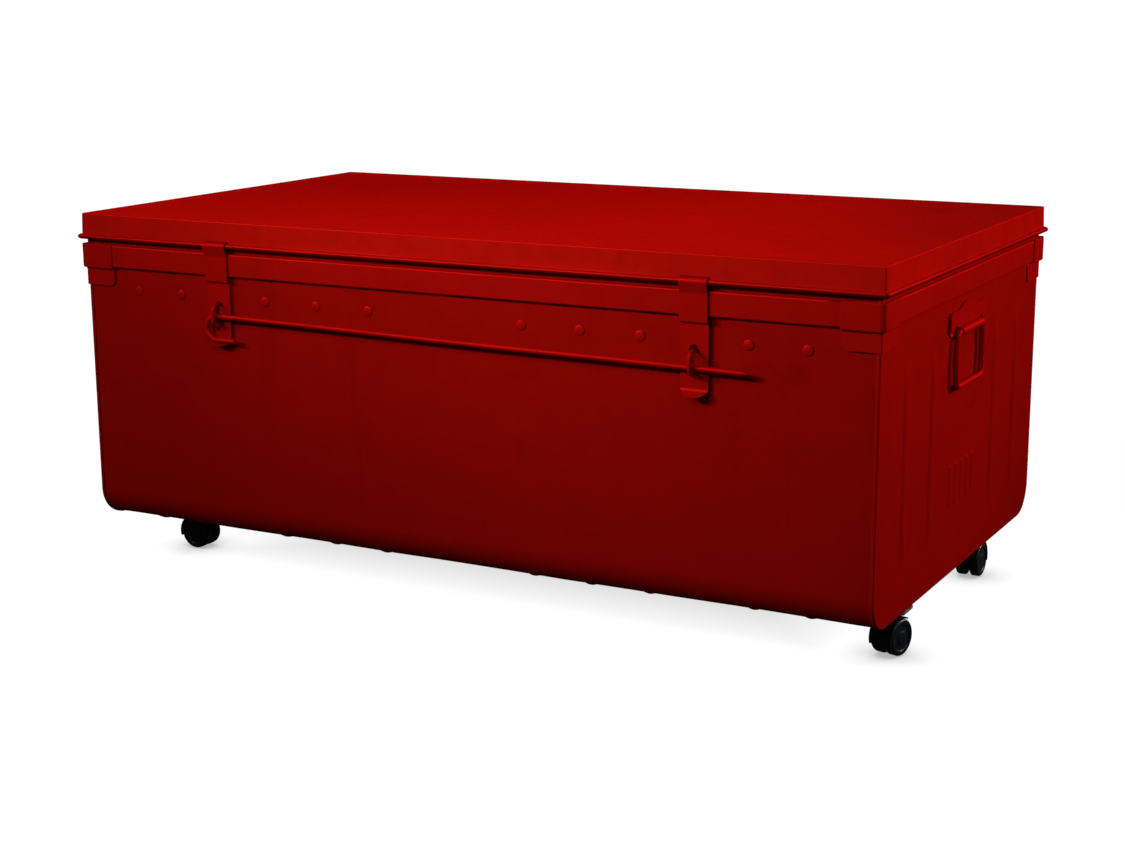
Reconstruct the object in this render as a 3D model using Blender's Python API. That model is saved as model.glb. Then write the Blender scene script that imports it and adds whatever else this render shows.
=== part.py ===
"""Sheet-steel storage chest on twin-wheel castors, with a lid locked by a sliding rod.

The chest stands on z = 0 with its long side along X. The front, with its two hasps
and the locking rod, faces -Y. All sizes are in metres.
"""
import math

import bmesh
import bpy
from mathutils import Matrix, Vector

# ---------------------------------------------------------------- driving dimensions

TOTAL_HEIGHT = 0.430
GAP = 0.0003
SHEET = 0.001
STRAP = 0.0014

# body: a bent sheet for front, floor and rear, closed by two flanged end panels
BODY_HALF_X = 0.4949
BODY_HALF_Y = 0.276
BODY_BOTTOM = 0.058
BODY_TOP = TOTAL_HEIGHT - 0.012
FLOOR_RADIUS = 0.036
HEM_DEPTH = 0.0044
HEM_HALF_Y = BODY_HALF_Y + GAP + SHEET

# pressed ribs across the floor, in line with the rivets along the front
STATION_X = (0.097, 0.167, 0.237, 0.357, 0.420)
FLOOR_RIB_WIDTH = 0.0095
FLOOR_RIB_HEIGHT = 0.0013

# raised band round the rim, and the plates over its corners
BAND_TOP = TOTAL_HEIGHT - 0.0364
BAND_BOTTOM = TOTAL_HEIGHT - 0.0625
BAND_PROUD = 0.0042
BAND_ROUND = 0.0018
BAND_SHEET = 0.0012
PLATE_SHEET = 0.0012
PLATE_FROM_X = 0.4545
PLATE_FROM_Y = 0.2400
GUSSET_FROM_Y = 0.2280
PLATE_BOTTOM = TOTAL_HEIGHT - 0.085
PLATE_CORNER = 0.008

# lid: a tapered pan whose lower edge is rolled round a wire
LID_HALF_X = 0.500
LID_HALF_Y = 0.281
LID_CORNER = 0.0025
LID_TAPER = 0.001
LID_EDGE = 0.0014
LID_RIM = 0.012
LID_SUNK = 0.0008
BEAD_RADIUS = 0.0029
BEAD_OUT = 0.0017
BEAD_Z = TOTAL_HEIGHT - 0.0275
WIRE_RADIUS = 0.0016
BEAD_HALF_X = LID_HALF_X + BEAD_OUT
BEAD_HALF_Y = LID_HALF_Y + BEAD_OUT
HOOK_RADIUS = BEAD_RADIUS + GAP + STRAP / 2

# hasps, staples and locking rod
HASP_X = 0.2995
HASP_HALF_WIDTH = 0.0155
HASP_PLATE_OUT = 0.0006
HASP_STRAP_OUT = -0.0036
HASP_STEP_Z = TOTAL_HEIGHT - 0.068
HASP_BEND = 0.006
HASP_BEND_Z = {"left": TOTAL_HEIGHT - 0.1347, "right": TOTAL_HEIGHT - 0.1365}
HASP_LIP_TURN = {"left": 82, "right": 55}
HASP_LIP_LENGTH = {"left": 0.0055, "right": 0.0080}
STAPLE_HEIGHT = 0.024
STAPLE_WIRE = 0.0023
STAPLE_REACH = 0.018
STAPLE_BEND = 0.007
STAPLE_Z = {"left": TOTAL_HEIGHT - 0.107, "right": TOTAL_HEIGHT - 0.110}
SLOT_TOP = TOTAL_HEIGHT - 0.0918
SLOT_BOTTOM = TOTAL_HEIGHT - 0.1268
SLOT_HALF_WIDTH = 0.006
ROD_RADIUS = 0.003
ROD_Y = -(BODY_HALF_Y + 0.0095)
ROD_TIP = Vector((0.362, ROD_Y, TOTAL_HEIGHT - 0.116))
ROD_BEND = Vector((-0.300, ROD_Y, TOTAL_HEIGHT - 0.108))
ROD_HOOK_RADIUS = 0.0138
ROD_HOOK_END_X = -0.2745

# rear hinge straps
HINGE_X = {"left": -0.360, "middle": 0.0, "right": 0.360}
HINGE_HALF_WIDTH = 0.020
HINGE_SCREW_STEP = 0.012

# rivets along the front and the bar inside that they hold
RIVET_Z = TOTAL_HEIGHT - 0.0885
RIVET_HEAD = 0.0058
RIVET_RISE = 0.0011
RIVET_SHANK = 0.0025
RAIL_HALF_X = 0.462
RAIL_HALF_Z = 0.012
RAIL_SHEET = 0.0015
RAIL_NOTCH_HALF = 0.008

# raised ribs and short flutes on each end
END_RIB_Y = (-0.195, -0.110, 0.110, 0.195)
END_RIB_HALF_WIDTH = 0.011
END_RIB_TOP = TOTAL_HEIGHT - 0.100
END_RIB_BOTTOM = TOTAL_HEIGHT - 0.325
END_RIB_HEIGHT = 0.0016
FLUTE_Y = (-0.043, -0.023, -0.003, 0.017, 0.037)
FLUTE_HALF_WIDTH = 0.004
FLUTE_TOP = TOTAL_HEIGHT - 0.247
FLUTE_BOTTOM = TOTAL_HEIGHT - 0.295
FLUTE_HEIGHT = 0.001

# carrying handles, a little forward of the middle of each end
HANDLE_Y = -0.006
BRACKET_HALF_Y = 0.060
BRACKET_TOP = TOTAL_HEIGHT - 0.078
BRACKET_PEAK = TOTAL_HEIGHT - 0.071
BRACKET_SHEET = 0.0030
KNUCKLE_HALF_Y = 0.040
NOTCH_FROM = 0.0365
NOTCH_TO = 0.0505
NOTCH_WEB = 0.0010
BAIL_RADIUS = 0.0034
KNUCKLE_INNER = BAIL_RADIUS + 0.0004
KNUCKLE_OUTER = KNUCKLE_INNER + 0.0012
BAIL_X = BODY_HALF_X + GAP + KNUCKLE_OUTER
BAIL_Z = TOTAL_HEIGHT - 0.1005
BAIL_DROP = 0.0595
BAIL_HALF_TOP = 0.0435
BAIL_HALF_BOTTOM = 0.0450
BAIL_BOW = 0.0025
BAIL_CORNER = 0.007

# castors
WHEEL_RADIUS = 0.020
WHEEL_WIDTH = 0.0104
WHEEL_INNER = 0.0034
WHEEL_EDGE = 0.0022
HOOD_WEB = 0.0030
FENDER_INNER = WHEEL_RADIUS + 0.0006
FENDER_OUTER = WHEEL_RADIUS + 0.0024
FENDER_HALF_WIDTH = 0.0136
TRAIL = 0.014
AXLE_RADIUS = 0.0025
STEM_RADIUS = 0.004
PLATE_TOP = BODY_BOTTOM - SHEET - 2 * GAP
PLATE_THICK = 0.0035
CUP_DROP = 0.003
CUP_RADIUS = 0.013
PLATE_HALF_X = 0.0255
PLATE_HALF_Y = 0.0145
PAD_HALF_X = 0.0175
PAD_HALF_Y = 0.0105
SCREW_INSET = 0.0050
# name: swivel x, swivel y, angle of the trailing wheels about Z
CASTORS = {
    "front_left": (-0.448, -0.166, math.radians(-90)),
    "front_right": (0.469, -0.166, math.radians(-14)),
    "rear_left": (-0.448, 0.172, math.radians(-14)),
    "rear_right": (0.463, 0.174, math.radians(180)),
}

# ---------------------------------------------------------------- scene and materials


def clear_scene():
    for obj in list(bpy.data.objects):
        bpy.data.objects.remove(obj, do_unlink=True)


def make_material(name, colour, roughness, metallic):
    mat = bpy.data.materials.new(name)
    mat.use_nodes = True
    shader = mat.node_tree.nodes["Principled BSDF"]
    shader.inputs["Base Color"].default_value = (*colour, 1.0)
    shader.inputs["Roughness"].default_value = roughness
    shader.inputs["Metallic"].default_value = metallic
    mat.diffuse_color = (*colour, 1.0)
    return mat


def make_materials():
    return {
        "body": make_material("body_red_paint", (0.20, 0.004, 0.003), 0.42, 0.1),
        "lid": make_material("lid_red_paint", (0.30, 0.005, 0.003), 0.40, 0.1),
        "hardware": make_material("hardware_red_paint", (0.26, 0.005, 0.004), 0.38, 0.1),
        "plastic": make_material("black_plastic", (0.008, 0.009, 0.010), 0.45, 0.0),
        "zinc": make_material("zinc_plate", (0.62, 0.62, 0.60), 0.35, 0.9),
    }


# ---------------------------------------------------------------- mesh helpers


def object_from(name, bm, mat, origin=(0, 0, 0), smooth=False):
    """Turns a bmesh in world coordinates into an object whose origin is at the given point."""
    bmesh.ops.remove_doubles(bm, verts=bm.verts, dist=1e-6)
    bmesh.ops.recalc_face_normals(bm, faces=bm.faces)
    mesh = bpy.data.meshes.new(name)
    bm.to_mesh(mesh)
    bm.free()
    mesh.transform(Matrix.Translation(-Vector(origin)))
    mesh.materials.append(mat)
    obj = bpy.data.objects.new(name, mesh)
    obj.location = origin
    bpy.context.scene.collection.objects.link(obj)
    if smooth:
        shade(obj)
    return obj


def shade(obj):
    obj.data.shade_smooth()
    obj.data.set_sharp_from_angle(angle=math.radians(35))


def combine(obj, bm, operation):
    """Applies a Boolean with the shape in bm, given in the object's own coordinates."""
    bmesh.ops.recalc_face_normals(bm, faces=bm.faces)
    tool_mesh = bpy.data.meshes.new("tool")
    bm.to_mesh(tool_mesh)
    bm.free()
    tool = bpy.data.objects.new("tool", tool_mesh)
    bpy.context.scene.collection.objects.link(tool)
    tool.location = obj.location
    mod = obj.modifiers.new("cut", "BOOLEAN")
    mod.operation = operation
    mod.object = tool
    bpy.context.view_layer.update()
    graph = bpy.context.evaluated_depsgraph_get()
    result = bpy.data.meshes.new_from_object(obj.evaluated_get(graph))
    obj.modifiers.clear()
    obj.data = result
    bpy.data.objects.remove(tool, do_unlink=True)


def add_loops(bm, loops, closed_loops=True, caps=True, close_path=False):
    """Skins a row of point loops, each with the same number of points."""
    rows = [[bm.verts.new(p) for p in loop] for loop in loops]
    count = len(rows[0])
    pairs = list(zip(rows, rows[1:]))
    if close_path:
        pairs.append((rows[-1], rows[0]))
    last = count if closed_loops else count - 1
    for a, b in pairs:
        for i in range(last):
            j = (i + 1) % count
            bm.faces.new((a[i], a[j], b[j], b[i]))
    if caps and not close_path:
        bm.faces.new(list(reversed(rows[0])))
        bm.faces.new(rows[-1])
    return rows


def add_thin_cap(bm, row):
    """Closes the end of a thin bent section, whose inner and outer points pair up from its foot."""
    low, high = 0, len(row) - 1
    while high - low > 2:
        bm.faces.new((row[low], row[low + 1], row[high - 1], row[high]))
        low += 1
        high -= 1
    if high - low == 2:
        bm.faces.new((row[low], row[low + 1], row[high]))


def add_prism(bm, outline, axis, low, high):
    """Extrudes a closed 2-D outline along an axis. The outline's two values follow X, Y, Z order."""
    def lift(a, b, c):
        if axis == "X":
            return (c, a, b)
        if axis == "Y":
            return (a, c, b)
        return (a, b, c)
    near = [lift(a, b, low) for a, b in outline]
    far = [lift(a, b, high) for a, b in outline]
    add_loops(bm, [near, far])


def add_box(bm, low, high):
    outline = [(low[0], low[1]), (high[0], low[1]), (high[0], high[1]), (low[0], high[1])]
    add_prism(bm, outline, "Z", low[2], high[2])


def arc(cx, cy, radius, start, end, steps):
    """Points on an arc, with angles in degrees."""
    points = []
    for i in range(steps + 1):
        a = math.radians(start + (end - start) * i / steps)
        points.append((cx + radius * math.cos(a), cy + radius * math.sin(a)))
    return points


def stadium(cx, low, high, half_width, steps=5):
    """An upright slot outline with round ends."""
    top = arc(cx, high - half_width, half_width, 0, 180, steps)
    bottom = arc(cx, low + half_width, half_width, 180, 360, steps)
    return top + bottom


def add_turned(bm, profile, centre, axis, steps=16):
    """Turns a (radius, height) profile about an axis through centre. It starts and ends on the axis."""
    centre = Vector(centre)
    frames = {
        "X": (Vector((0, 1, 0)), Vector((0, 0, 1)), Vector((1, 0, 0))),
        "Y": (Vector((0, 0, 1)), Vector((1, 0, 0)), Vector((0, 1, 0))),
        "Z": (Vector((1, 0, 0)), Vector((0, 1, 0)), Vector((0, 0, 1))),
    }
    across, up, along = frames[axis]
    first = bm.verts.new(centre + along * profile[0][1])
    last = bm.verts.new(centre + along * profile[-1][1])
    rings = []
    for radius, height in profile[1:-1]:
        ring = []
        for i in range(steps):
            a = 2 * math.pi * i / steps
            out = across * math.cos(a) + up * math.sin(a)
            ring.append(bm.verts.new(centre + out * radius + along * height))
        rings.append(ring)
    for i in range(steps):
        j = (i + 1) % steps
        bm.faces.new((first, rings[0][j], rings[0][i]))
        bm.faces.new((last, rings[-1][i], rings[-1][j]))
        for a, b in zip(rings, rings[1:]):
            bm.faces.new((a[i], a[j], b[j], b[i]))


def add_cylinder(bm, centre, axis, radius, low, high, steps=16):
    add_turned(bm, [(0, low), (radius, low), (radius, high), (0, high)], centre, axis, steps)


def add_dome(bm, centre, axis, radius, height, root, steps=12):
    """A low round head standing on centre, whose foot reaches back by root."""
    sign = 1 if height > 0 else -1
    profile = [(0, -sign * root), (radius, -sign * root)]
    for i in range(3):
        a = math.radians(30 * i)
        profile.append((radius * math.cos(a), height * math.sin(a)))
    profile.append((0, height))
    add_turned(bm, profile, centre, axis, steps)


def add_tube(bm, path, radius, sides=10, closed=False, radii=None):
    """Sweeps a round section along a flat path of points."""
    points = [Vector(p) for p in path]
    count = len(points)
    normal = None
    for i in range(1, count - 1):
        turn = (points[i] - points[i - 1]).cross(points[i + 1] - points[i])
        if turn.length > 1e-12:
            normal = turn.normalized()
            break
    if normal is None:
        normal = Vector((0, 0, 1)).cross(points[1] - points[0]).normalized()
    loops = []
    for i in range(count):
        if closed:
            before, after = points[i - 1], points[(i + 1) % count]
        else:
            before, after = points[max(i - 1, 0)], points[min(i + 1, count - 1)]
        tangent = (after - before).normalized()
        side = tangent.cross(normal).normalized()
        r = radii[i] if radii else radius
        loop = []
        for k in range(sides):
            a = 2 * math.pi * k / sides
            loop.append(points[i] + (side * math.cos(a) + normal * math.sin(a)) * r)
        loops.append(loop)
    add_loops(bm, loops, close_path=closed)


def add_strap(bm, centreline, thickness, half_width_at, place):
    """Skins a bent strap. The centreline is (out, up) points; half_width_at takes the run so far."""
    count = len(centreline)
    run = 0.0
    loops = []
    for i, (u, z) in enumerate(centreline):
        if i:
            pu, pz = centreline[i - 1]
            run += math.hypot(u - pu, z - pz)
        bu, bz = centreline[max(i - 1, 0)]
        au, az = centreline[min(i + 1, count - 1)]
        length = math.hypot(au - bu, az - bz)
        nu, nz = -(az - bz) / length, (au - bu) / length
        w = half_width_at(run)
        h = thickness / 2
        loops.append([
            place(-w, u - nu * h, z - nz * h),
            place(w, u - nu * h, z - nz * h),
            place(w, u + nu * h, z + nz * h),
            place(-w, u + nu * h, z + nz * h),
        ])
    add_loops(bm, loops)


def strap_run(centreline):
    total = 0.0
    for (u0, z0), (u1, z1) in zip(centreline, centreline[1:]):
        total += math.hypot(u1 - u0, z1 - z0)
    return total


# ---------------------------------------------------------------- body


def u_outline(half_y, bottom, radius, top, steps=8):
    """The U-shaped section of the body, from the front's top edge round to the rear's."""
    points = [(-half_y, top)]
    points += arc(-half_y + radius, bottom + radius, radius, 180, 270, steps)
    points += arc(half_y - radius, bottom + radius, radius, 270, 360, steps)
    points.append((half_y, top))
    return points


def floor_rib_outline():
    """One pressed rib in section: it follows the floor and runs a little way up both bends."""
    def path(offset, reach):
        r = FLOOR_RADIUS + offset
        cy = BODY_HALF_Y - FLOOR_RADIUS
        cz = BODY_BOTTOM + FLOOR_RADIUS
        front = arc(-cy, cz, r, 270 - reach, 270, 4)
        rear = arc(cy, cz, r, 270, 270 + reach, 4)
        return front + rear
    return path(FLOOR_RIB_HEIGHT, 38) + list(reversed(path(-SHEET / 2, 46)))


def add_floor_ribs(bm):
    for x in STATION_X:
        for sign in (-1, 1):
            low = sign * x - FLOOR_RIB_WIDTH / 2
            add_prism(bm, floor_rib_outline(), "X", low, low + FLOOR_RIB_WIDTH)


def staple_legs():
    """The places, as (x, z), where the staples go through the front."""
    places = []
    for side, sign in (("left", -1), ("right", 1)):
        for step in (-1, 1):
            places.append((sign * HASP_X, STAPLE_Z[side] + step * STAPLE_HEIGHT / 2))
    return places


def add_front_holes(bm):
    wall = (-BODY_HALF_Y - 0.002, -BODY_HALF_Y + SHEET + 0.002)
    for x in STATION_X:
        for sign in (-1, 1):
            add_cylinder(bm, (sign * x, 0, RIVET_Z), "Y", RIVET_SHANK + GAP, *wall)
    for x, z in staple_legs():
        add_cylinder(bm, (x, 0, z), "Y", STAPLE_WIRE + GAP, *wall)


def build_wrap_sheet(mats):
    half_length = BODY_HALF_X - SHEET - GAP
    outer = u_outline(BODY_HALF_Y, BODY_BOTTOM, FLOOR_RADIUS, BODY_TOP)
    inner = u_outline(BODY_HALF_Y - SHEET, BODY_BOTTOM + SHEET, FLOOR_RADIUS - SHEET, BODY_TOP)
    bm = bmesh.new()
    add_prism(bm, outer + list(reversed(inner)), "X", -half_length, half_length)
    obj = object_from("body_wrap_sheet", bm, mats["body"])
    ribs = bmesh.new()
    add_floor_ribs(ribs)
    combine(obj, ribs, "UNION")
    holes = bmesh.new()
    add_front_holes(holes)
    combine(obj, holes, "DIFFERENCE")
    shade(obj)


def add_emboss(bm, sign, y, low, high, half_width, base_x, height, taper):
    """A raised rib with sloping sides on an end panel, seen as a slot outline."""
    foot = stadium(y, low, high, half_width)
    crown = stadium(y, low + taper, high - taper, half_width - taper)
    loops = [
        [(sign * (base_x - 0.0003), a, b) for a, b in foot],
        [(sign * base_x, a, b) for a, b in foot],
        [(sign * (base_x + height), a, b) for a, b in crown],
    ]
    add_loops(bm, loops)


def add_panel_relief(bm, sign, base_x, shrink):
    for y in END_RIB_Y:
        add_emboss(bm, sign, y, END_RIB_BOTTOM + shrink, END_RIB_TOP - shrink,
                   END_RIB_HALF_WIDTH - shrink, base_x, END_RIB_HEIGHT, 0.0045)
    for y in FLUTE_Y:
        add_emboss(bm, sign, y, FLUTE_BOTTOM + shrink, FLUTE_TOP - shrink,
                   FLUTE_HALF_WIDTH - shrink, base_x, FLUTE_HEIGHT, 0.0016)


def build_end_panel(side, sign, mats):
    bottom = BODY_BOTTOM - GAP - SHEET
    outer = u_outline(HEM_HALF_Y, bottom, FLOOR_RADIUS + GAP + SHEET, BODY_TOP)
    inner = u_outline(HEM_HALF_Y - SHEET, bottom + SHEET, FLOOR_RADIUS + GAP, BODY_TOP)
    face = sign * BODY_HALF_X
    back = sign * (BODY_HALF_X - SHEET)
    bm = bmesh.new()
    add_prism(bm, outer, "X", min(face, back), max(face, back))
    obj = object_from("end_panel_" + side, bm, mats["body"])
    hem = bmesh.new()
    deep = sign * (BODY_HALF_X - HEM_DEPTH)
    half_way = sign * (BODY_HALF_X - SHEET / 2)
    add_prism(hem, outer + list(reversed(inner)), "X", min(half_way, deep), max(half_way, deep))
    combine(obj, hem, "UNION")
    raised = bmesh.new()
    add_panel_relief(raised, sign, BODY_HALF_X, 0.0)
    combine(obj, raised, "UNION")
    hollow = bmesh.new()
    add_panel_relief(hollow, sign, BODY_HALF_X - SHEET, 0.0007)
    combine(obj, hollow, "DIFFERENCE")
    shade(obj)


def band_section(foot, crown):
    """A C-shaped band in section, open towards the wall. Out runs from foot to crown."""
    r = BAND_ROUND
    t = BAND_SHEET
    low, high = BAND_BOTTOM, BAND_TOP
    outer = [(foot, low)] + arc(crown - r, low + r, r, 270, 360, 4)
    outer += arc(crown - r, high - r, r, 0, 90, 4) + [(foot, high)]
    s = r - t
    inner = [(foot, high - t)] + list(reversed(arc(crown - r, high - r, s, 0, 90, 4)))
    inner += list(reversed(arc(crown - r, low + r, s, 270, 360, 4))) + [(foot, low + t)]
    return outer + inner


def build_bands(mats):
    long_half = BODY_HALF_X - HEM_DEPTH - 0.0006
    section = band_section(BODY_HALF_Y + GAP, HEM_HALF_Y + BAND_PROUD)
    for name, sign in (("front", -1), ("rear", 1)):
        bm = bmesh.new()
        add_prism(bm, [(sign * u, z) for u, z in section], "X", -long_half, long_half)
        object_from("rim_band_" + name, bm, mats["body"], smooth=True)
    short_half = HEM_HALF_Y - GAP
    section = band_section(BODY_HALF_X + GAP, BODY_HALF_X + BAND_PROUD)
    for name, sign in (("left", -1), ("right", 1)):
        bm = bmesh.new()
        add_prism(bm, [(sign * u, z) for u, z in section], "Y", -short_half, short_half)
        object_from("rim_band_" + name, bm, mats["body"], smooth=True)


def corner_path(offset, from_y):
    """Plan points round one corner, in the +X +Y quarter, from the long side to the short one."""
    r = offset
    x = BODY_HALF_X + offset
    y = HEM_HALF_Y + offset
    ends = (0.0, 0.0012, 0.0030, 0.0055, PLATE_CORNER)
    along = [(PLATE_FROM_X + d, y) for d in ends]
    bend = [(x - r + r * math.sin(math.radians(a)), y - r + r * math.cos(math.radians(a)))
            for a in range(0, 91, 15)]
    down = [(x, from_y + d) for d in reversed(ends)]
    return along + bend + down


def corner_rise():
    """How much the plate's lower edge is lifted at each point of the path, to round its corners."""
    ends = (0.0, 0.0012, 0.0030, 0.0055, PLATE_CORNER)
    lift = [PLATE_CORNER - math.sqrt(PLATE_CORNER ** 2 - (PLATE_CORNER - d) ** 2) for d in ends]
    return lift + [0.0] * 7 + list(reversed(lift))


def build_corner_plates(mats):
    """Each plate hugs the band and then steps in to the wall below, where it is wider on the end."""
    under = BAND_BOTTOM - GAP
    t = PLATE_SHEET
    inner_low = GAP
    inner_high = BAND_PROUD + GAP
    section = [
        (inner_low, None),
        (inner_low, under - 0.0014),
        (inner_high, under),
        (inner_high, BAND_TOP + 0.0004),
        (inner_high + t, BAND_TOP + 0.0004),
        (inner_high + t, under - 0.0009),
        (inner_low + t, under - 0.0023),
        (inner_low + t, None),
    ]
    rise = corner_rise()
    for name, sx, sy in (("front_left", -1, -1), ("front_right", 1, -1),
                         ("rear_left", -1, 1), ("rear_right", 1, 1)):
        rows = []
        for offset, z in section:
            plan = corner_path(offset, GUSSET_FROM_Y if offset <= inner_low + t else PLATE_FROM_Y)
            row = []
            for (x, y), lift in zip(plan, rise):
                row.append((sx * x, sy * y, PLATE_BOTTOM + lift if z is None else z))
            rows.append(row)
        loops = [list(loop) for loop in zip(*rows)]
        bm = bmesh.new()
        ends = add_loops(bm, loops, caps=False)
        add_thin_cap(bm, ends[0])
        add_thin_cap(bm, ends[-1])
        object_from("corner_plate_" + name, bm, mats["body"], smooth=True)


def build_front_rail(mats):
    """A flat bar inside the front, with the rivets whose heads show outside."""
    inside = -BODY_HALF_Y + SHEET + GAP
    bm = bmesh.new()
    low, high = RIVET_Z - RAIL_HALF_Z, RIVET_Z + RAIL_HALF_Z
    notch_top = max(STAPLE_Z.values()) + STAPLE_HEIGHT / 2 + 0.0060
    outline = [(-RAIL_HALF_X, low)]
    for sign in (-1, 1):
        outline += [
            (sign * HASP_X - RAIL_NOTCH_HALF, low), (sign * HASP_X - RAIL_NOTCH_HALF, notch_top),
            (sign * HASP_X + RAIL_NOTCH_HALF, notch_top), (sign * HASP_X + RAIL_NOTCH_HALF, low),
        ]
    outline += [(RAIL_HALF_X, low), (RAIL_HALF_X, high), (-RAIL_HALF_X, high)]
    add_prism(bm, outline, "Y", inside, inside + RAIL_SHEET)
    obj = object_from("front_rail_with_rivets", bm, mats["hardware"])
    rivets = bmesh.new()
    seat = -BODY_HALF_Y - GAP
    for x in STATION_X:
        for sign in (-1, 1):
            profile = [(0, inside + RAIL_SHEET / 2), (RIVET_SHANK, inside + RAIL_SHEET / 2),
                       (RIVET_SHANK, seat)]
            for i in range(3):
                a = math.radians(30 * i)
                profile.append((RIVET_HEAD * math.cos(a), seat - RIVET_RISE * math.sin(a)))
            profile.append((0, seat - RIVET_RISE))
            add_turned(rivets, profile, (sign * x, 0, RIVET_Z), "Y", 12)
    combine(obj, rivets, "UNION")
    shade(obj)


# ---------------------------------------------------------------- lid


def rounded_rectangle(half_x, half_y, radius, z, steps=3):
    points = []
    for cx, cy, start in ((half_x, half_y, 0), (-half_x, half_y, 90),
                          (-half_x, -half_y, 180), (half_x, -half_y, 270)):
        sx, sy = math.copysign(1, cx), math.copysign(1, cy)
        for x, y in arc(cx - sx * radius, cy - sy * radius, radius, start, start + 90, steps):
            points.append((x, y, z))
    return points


def lid_loop(out, z):
    """A loop round the lid at this distance outside the skirt's lower edge."""
    radius = max(LID_CORNER + out, 0.0015)
    return rounded_rectangle(LID_HALF_X + out, LID_HALF_Y + out, radius, z)


def build_lid_shell(mats):
    top = TOTAL_HEIGHT
    taper = LID_TAPER
    sunk = top - LID_SUNK
    loops = [lid_loop(-LID_RIM - 0.003, sunk), lid_loop(-LID_RIM - 0.0015, sunk),
             lid_loop(-LID_RIM, top), lid_loop(-taper - LID_EDGE, top)]
    for out, z in reversed(arc(-taper - LID_EDGE, top - LID_EDGE, LID_EDGE, 0, 75, 4)):
        loops.append(lid_loop(out, z))
    loops.append(lid_loop(-0.0002, BEAD_Z + 0.0040))
    inner_bead = BEAD_RADIUS - SHEET
    loops.append(lid_loop(0.0, BEAD_Z + 0.0008))
    for out, z in arc(BEAD_OUT, BEAD_Z, inner_bead, 180, 478, 9):
        loops.append(lid_loop(out, z))
    for out, z in reversed(arc(BEAD_OUT, BEAD_Z, BEAD_RADIUS, 180, 478, 13)):
        loops.append(lid_loop(out, z))
    loops.append(lid_loop(-SHEET - 0.0002, BEAD_Z + 0.0040))
    loops.append(lid_loop(-SHEET - taper, top - LID_EDGE))
    loops.append(lid_loop(-SHEET - taper - 0.0012, top - SHEET))
    loops.append(lid_loop(-LID_RIM - 0.0005, top - SHEET))
    loops.append(lid_loop(-LID_RIM - 0.0020, sunk - SHEET))
    bm = bmesh.new()
    add_loops(bm, loops)
    pivot = (0, BEAD_HALF_Y, BEAD_Z)
    obj = object_from("lid_shell", bm, mats["lid"])
    slits = bmesh.new()
    places = [(sign * HASP_X, -1, HASP_HALF_WIDTH) for sign in (-1, 1)]
    places += [(x, 1, HINGE_HALF_WIDTH) for x in HINGE_X.values()]
    sector = arc(0, 0, BEAD_RADIUS + GAP / 2, 108, 190, 8)
    sector += list(reversed(arc(0, 0, HOOK_RADIUS + STRAP / 2 + 0.0005, 104, 190, 8)))
    for x, side, half_width in places:
        outline = [(side * (BEAD_HALF_Y + u), BEAD_Z + z) for u, z in sector]
        add_prism(slits, outline, "X", x - half_width - 0.0008, x + half_width + 0.0008)
    combine(obj, slits, "DIFFERENCE")
    obj.data.transform(Matrix.Translation(-Vector(pivot)))
    obj.location = pivot
    shade(obj)


def build_lid_wire(mats):
    bm = bmesh.new()
    path = rounded_rectangle(BEAD_HALF_X, BEAD_HALF_Y, LID_CORNER + BEAD_OUT, BEAD_Z)
    add_tube(bm, path, WIRE_RADIUS, sides=10, closed=True)
    object_from("lid_wire", bm, mats["zinc"], (0, BEAD_HALF_Y, BEAD_Z), smooth=True)


# ---------------------------------------------------------------- hasps and hinges


def hook_line():
    """The rolled end of a strap, from its free end inside the lid over the bead to the outside."""
    return list(reversed(arc(0, 0, HOOK_RADIUS, 0, 212, 14)))


def hasp_line(side):
    """The hasp in section, as (out, up) from the bead's centre, from the roll to the lip."""
    bend_z = HASP_BEND_Z[side] - BEAD_Z
    step_z = HASP_STEP_Z - BEAD_Z
    line = hook_line()
    line += [(HOOK_RADIUS, -0.0015), (HASP_PLATE_OUT + 0.0006, -0.0100), (HASP_PLATE_OUT, -0.0130)]
    line += [(HASP_PLATE_OUT, step_z + 0.0004), (HASP_PLATE_OUT - 0.0003, step_z - 0.0002)]
    line += [(HASP_STRAP_OUT + 0.0004, step_z - 0.0020), (HASP_STRAP_OUT, step_z - 0.0030)]
    line += [(HASP_STRAP_OUT, bend_z + 0.010)]
    turn = arc(HASP_STRAP_OUT + HASP_BEND, bend_z, HASP_BEND, 180, 180 + HASP_LIP_TURN[side], 6)
    line += turn
    a = math.radians(HASP_LIP_TURN[side])
    steps = 5
    for i in range(1, steps + 1):
        d = HASP_LIP_LENGTH[side] * i / steps
        line.append((turn[-1][0] + d * math.sin(a), turn[-1][1] - d * math.cos(a)))
    return line


def build_hasp(side, sign, mats):
    line = hasp_line(side)
    total = strap_run(line)
    w = HASP_HALF_WIDTH

    def half_width(run):
        left = total - run
        if left >= w:
            return w
        return max(math.sqrt(max(w * w - (w - left) ** 2, 0.0)), 0.003)

    pivot = Vector((sign * HASP_X, -BEAD_HALF_Y, BEAD_Z))

    def place(x, u, z):
        return (pivot.x + x, pivot.y - u, pivot.z + z)

    bm = bmesh.new()
    add_strap(bm, line, STRAP, half_width, place)
    obj = object_from("hasp_" + side, bm, mats["hardware"])
    slot = bmesh.new()
    outline = stadium(pivot.x, SLOT_BOTTOM, SLOT_TOP, SLOT_HALF_WIDTH)
    add_prism(slot, outline, "Y", -BODY_HALF_Y - 0.006, -BODY_HALF_Y + 0.001)
    combine(obj, slot, "DIFFERENCE")
    obj.data.transform(Matrix.Translation(-pivot))
    obj.location = pivot
    shade(obj)


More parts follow.
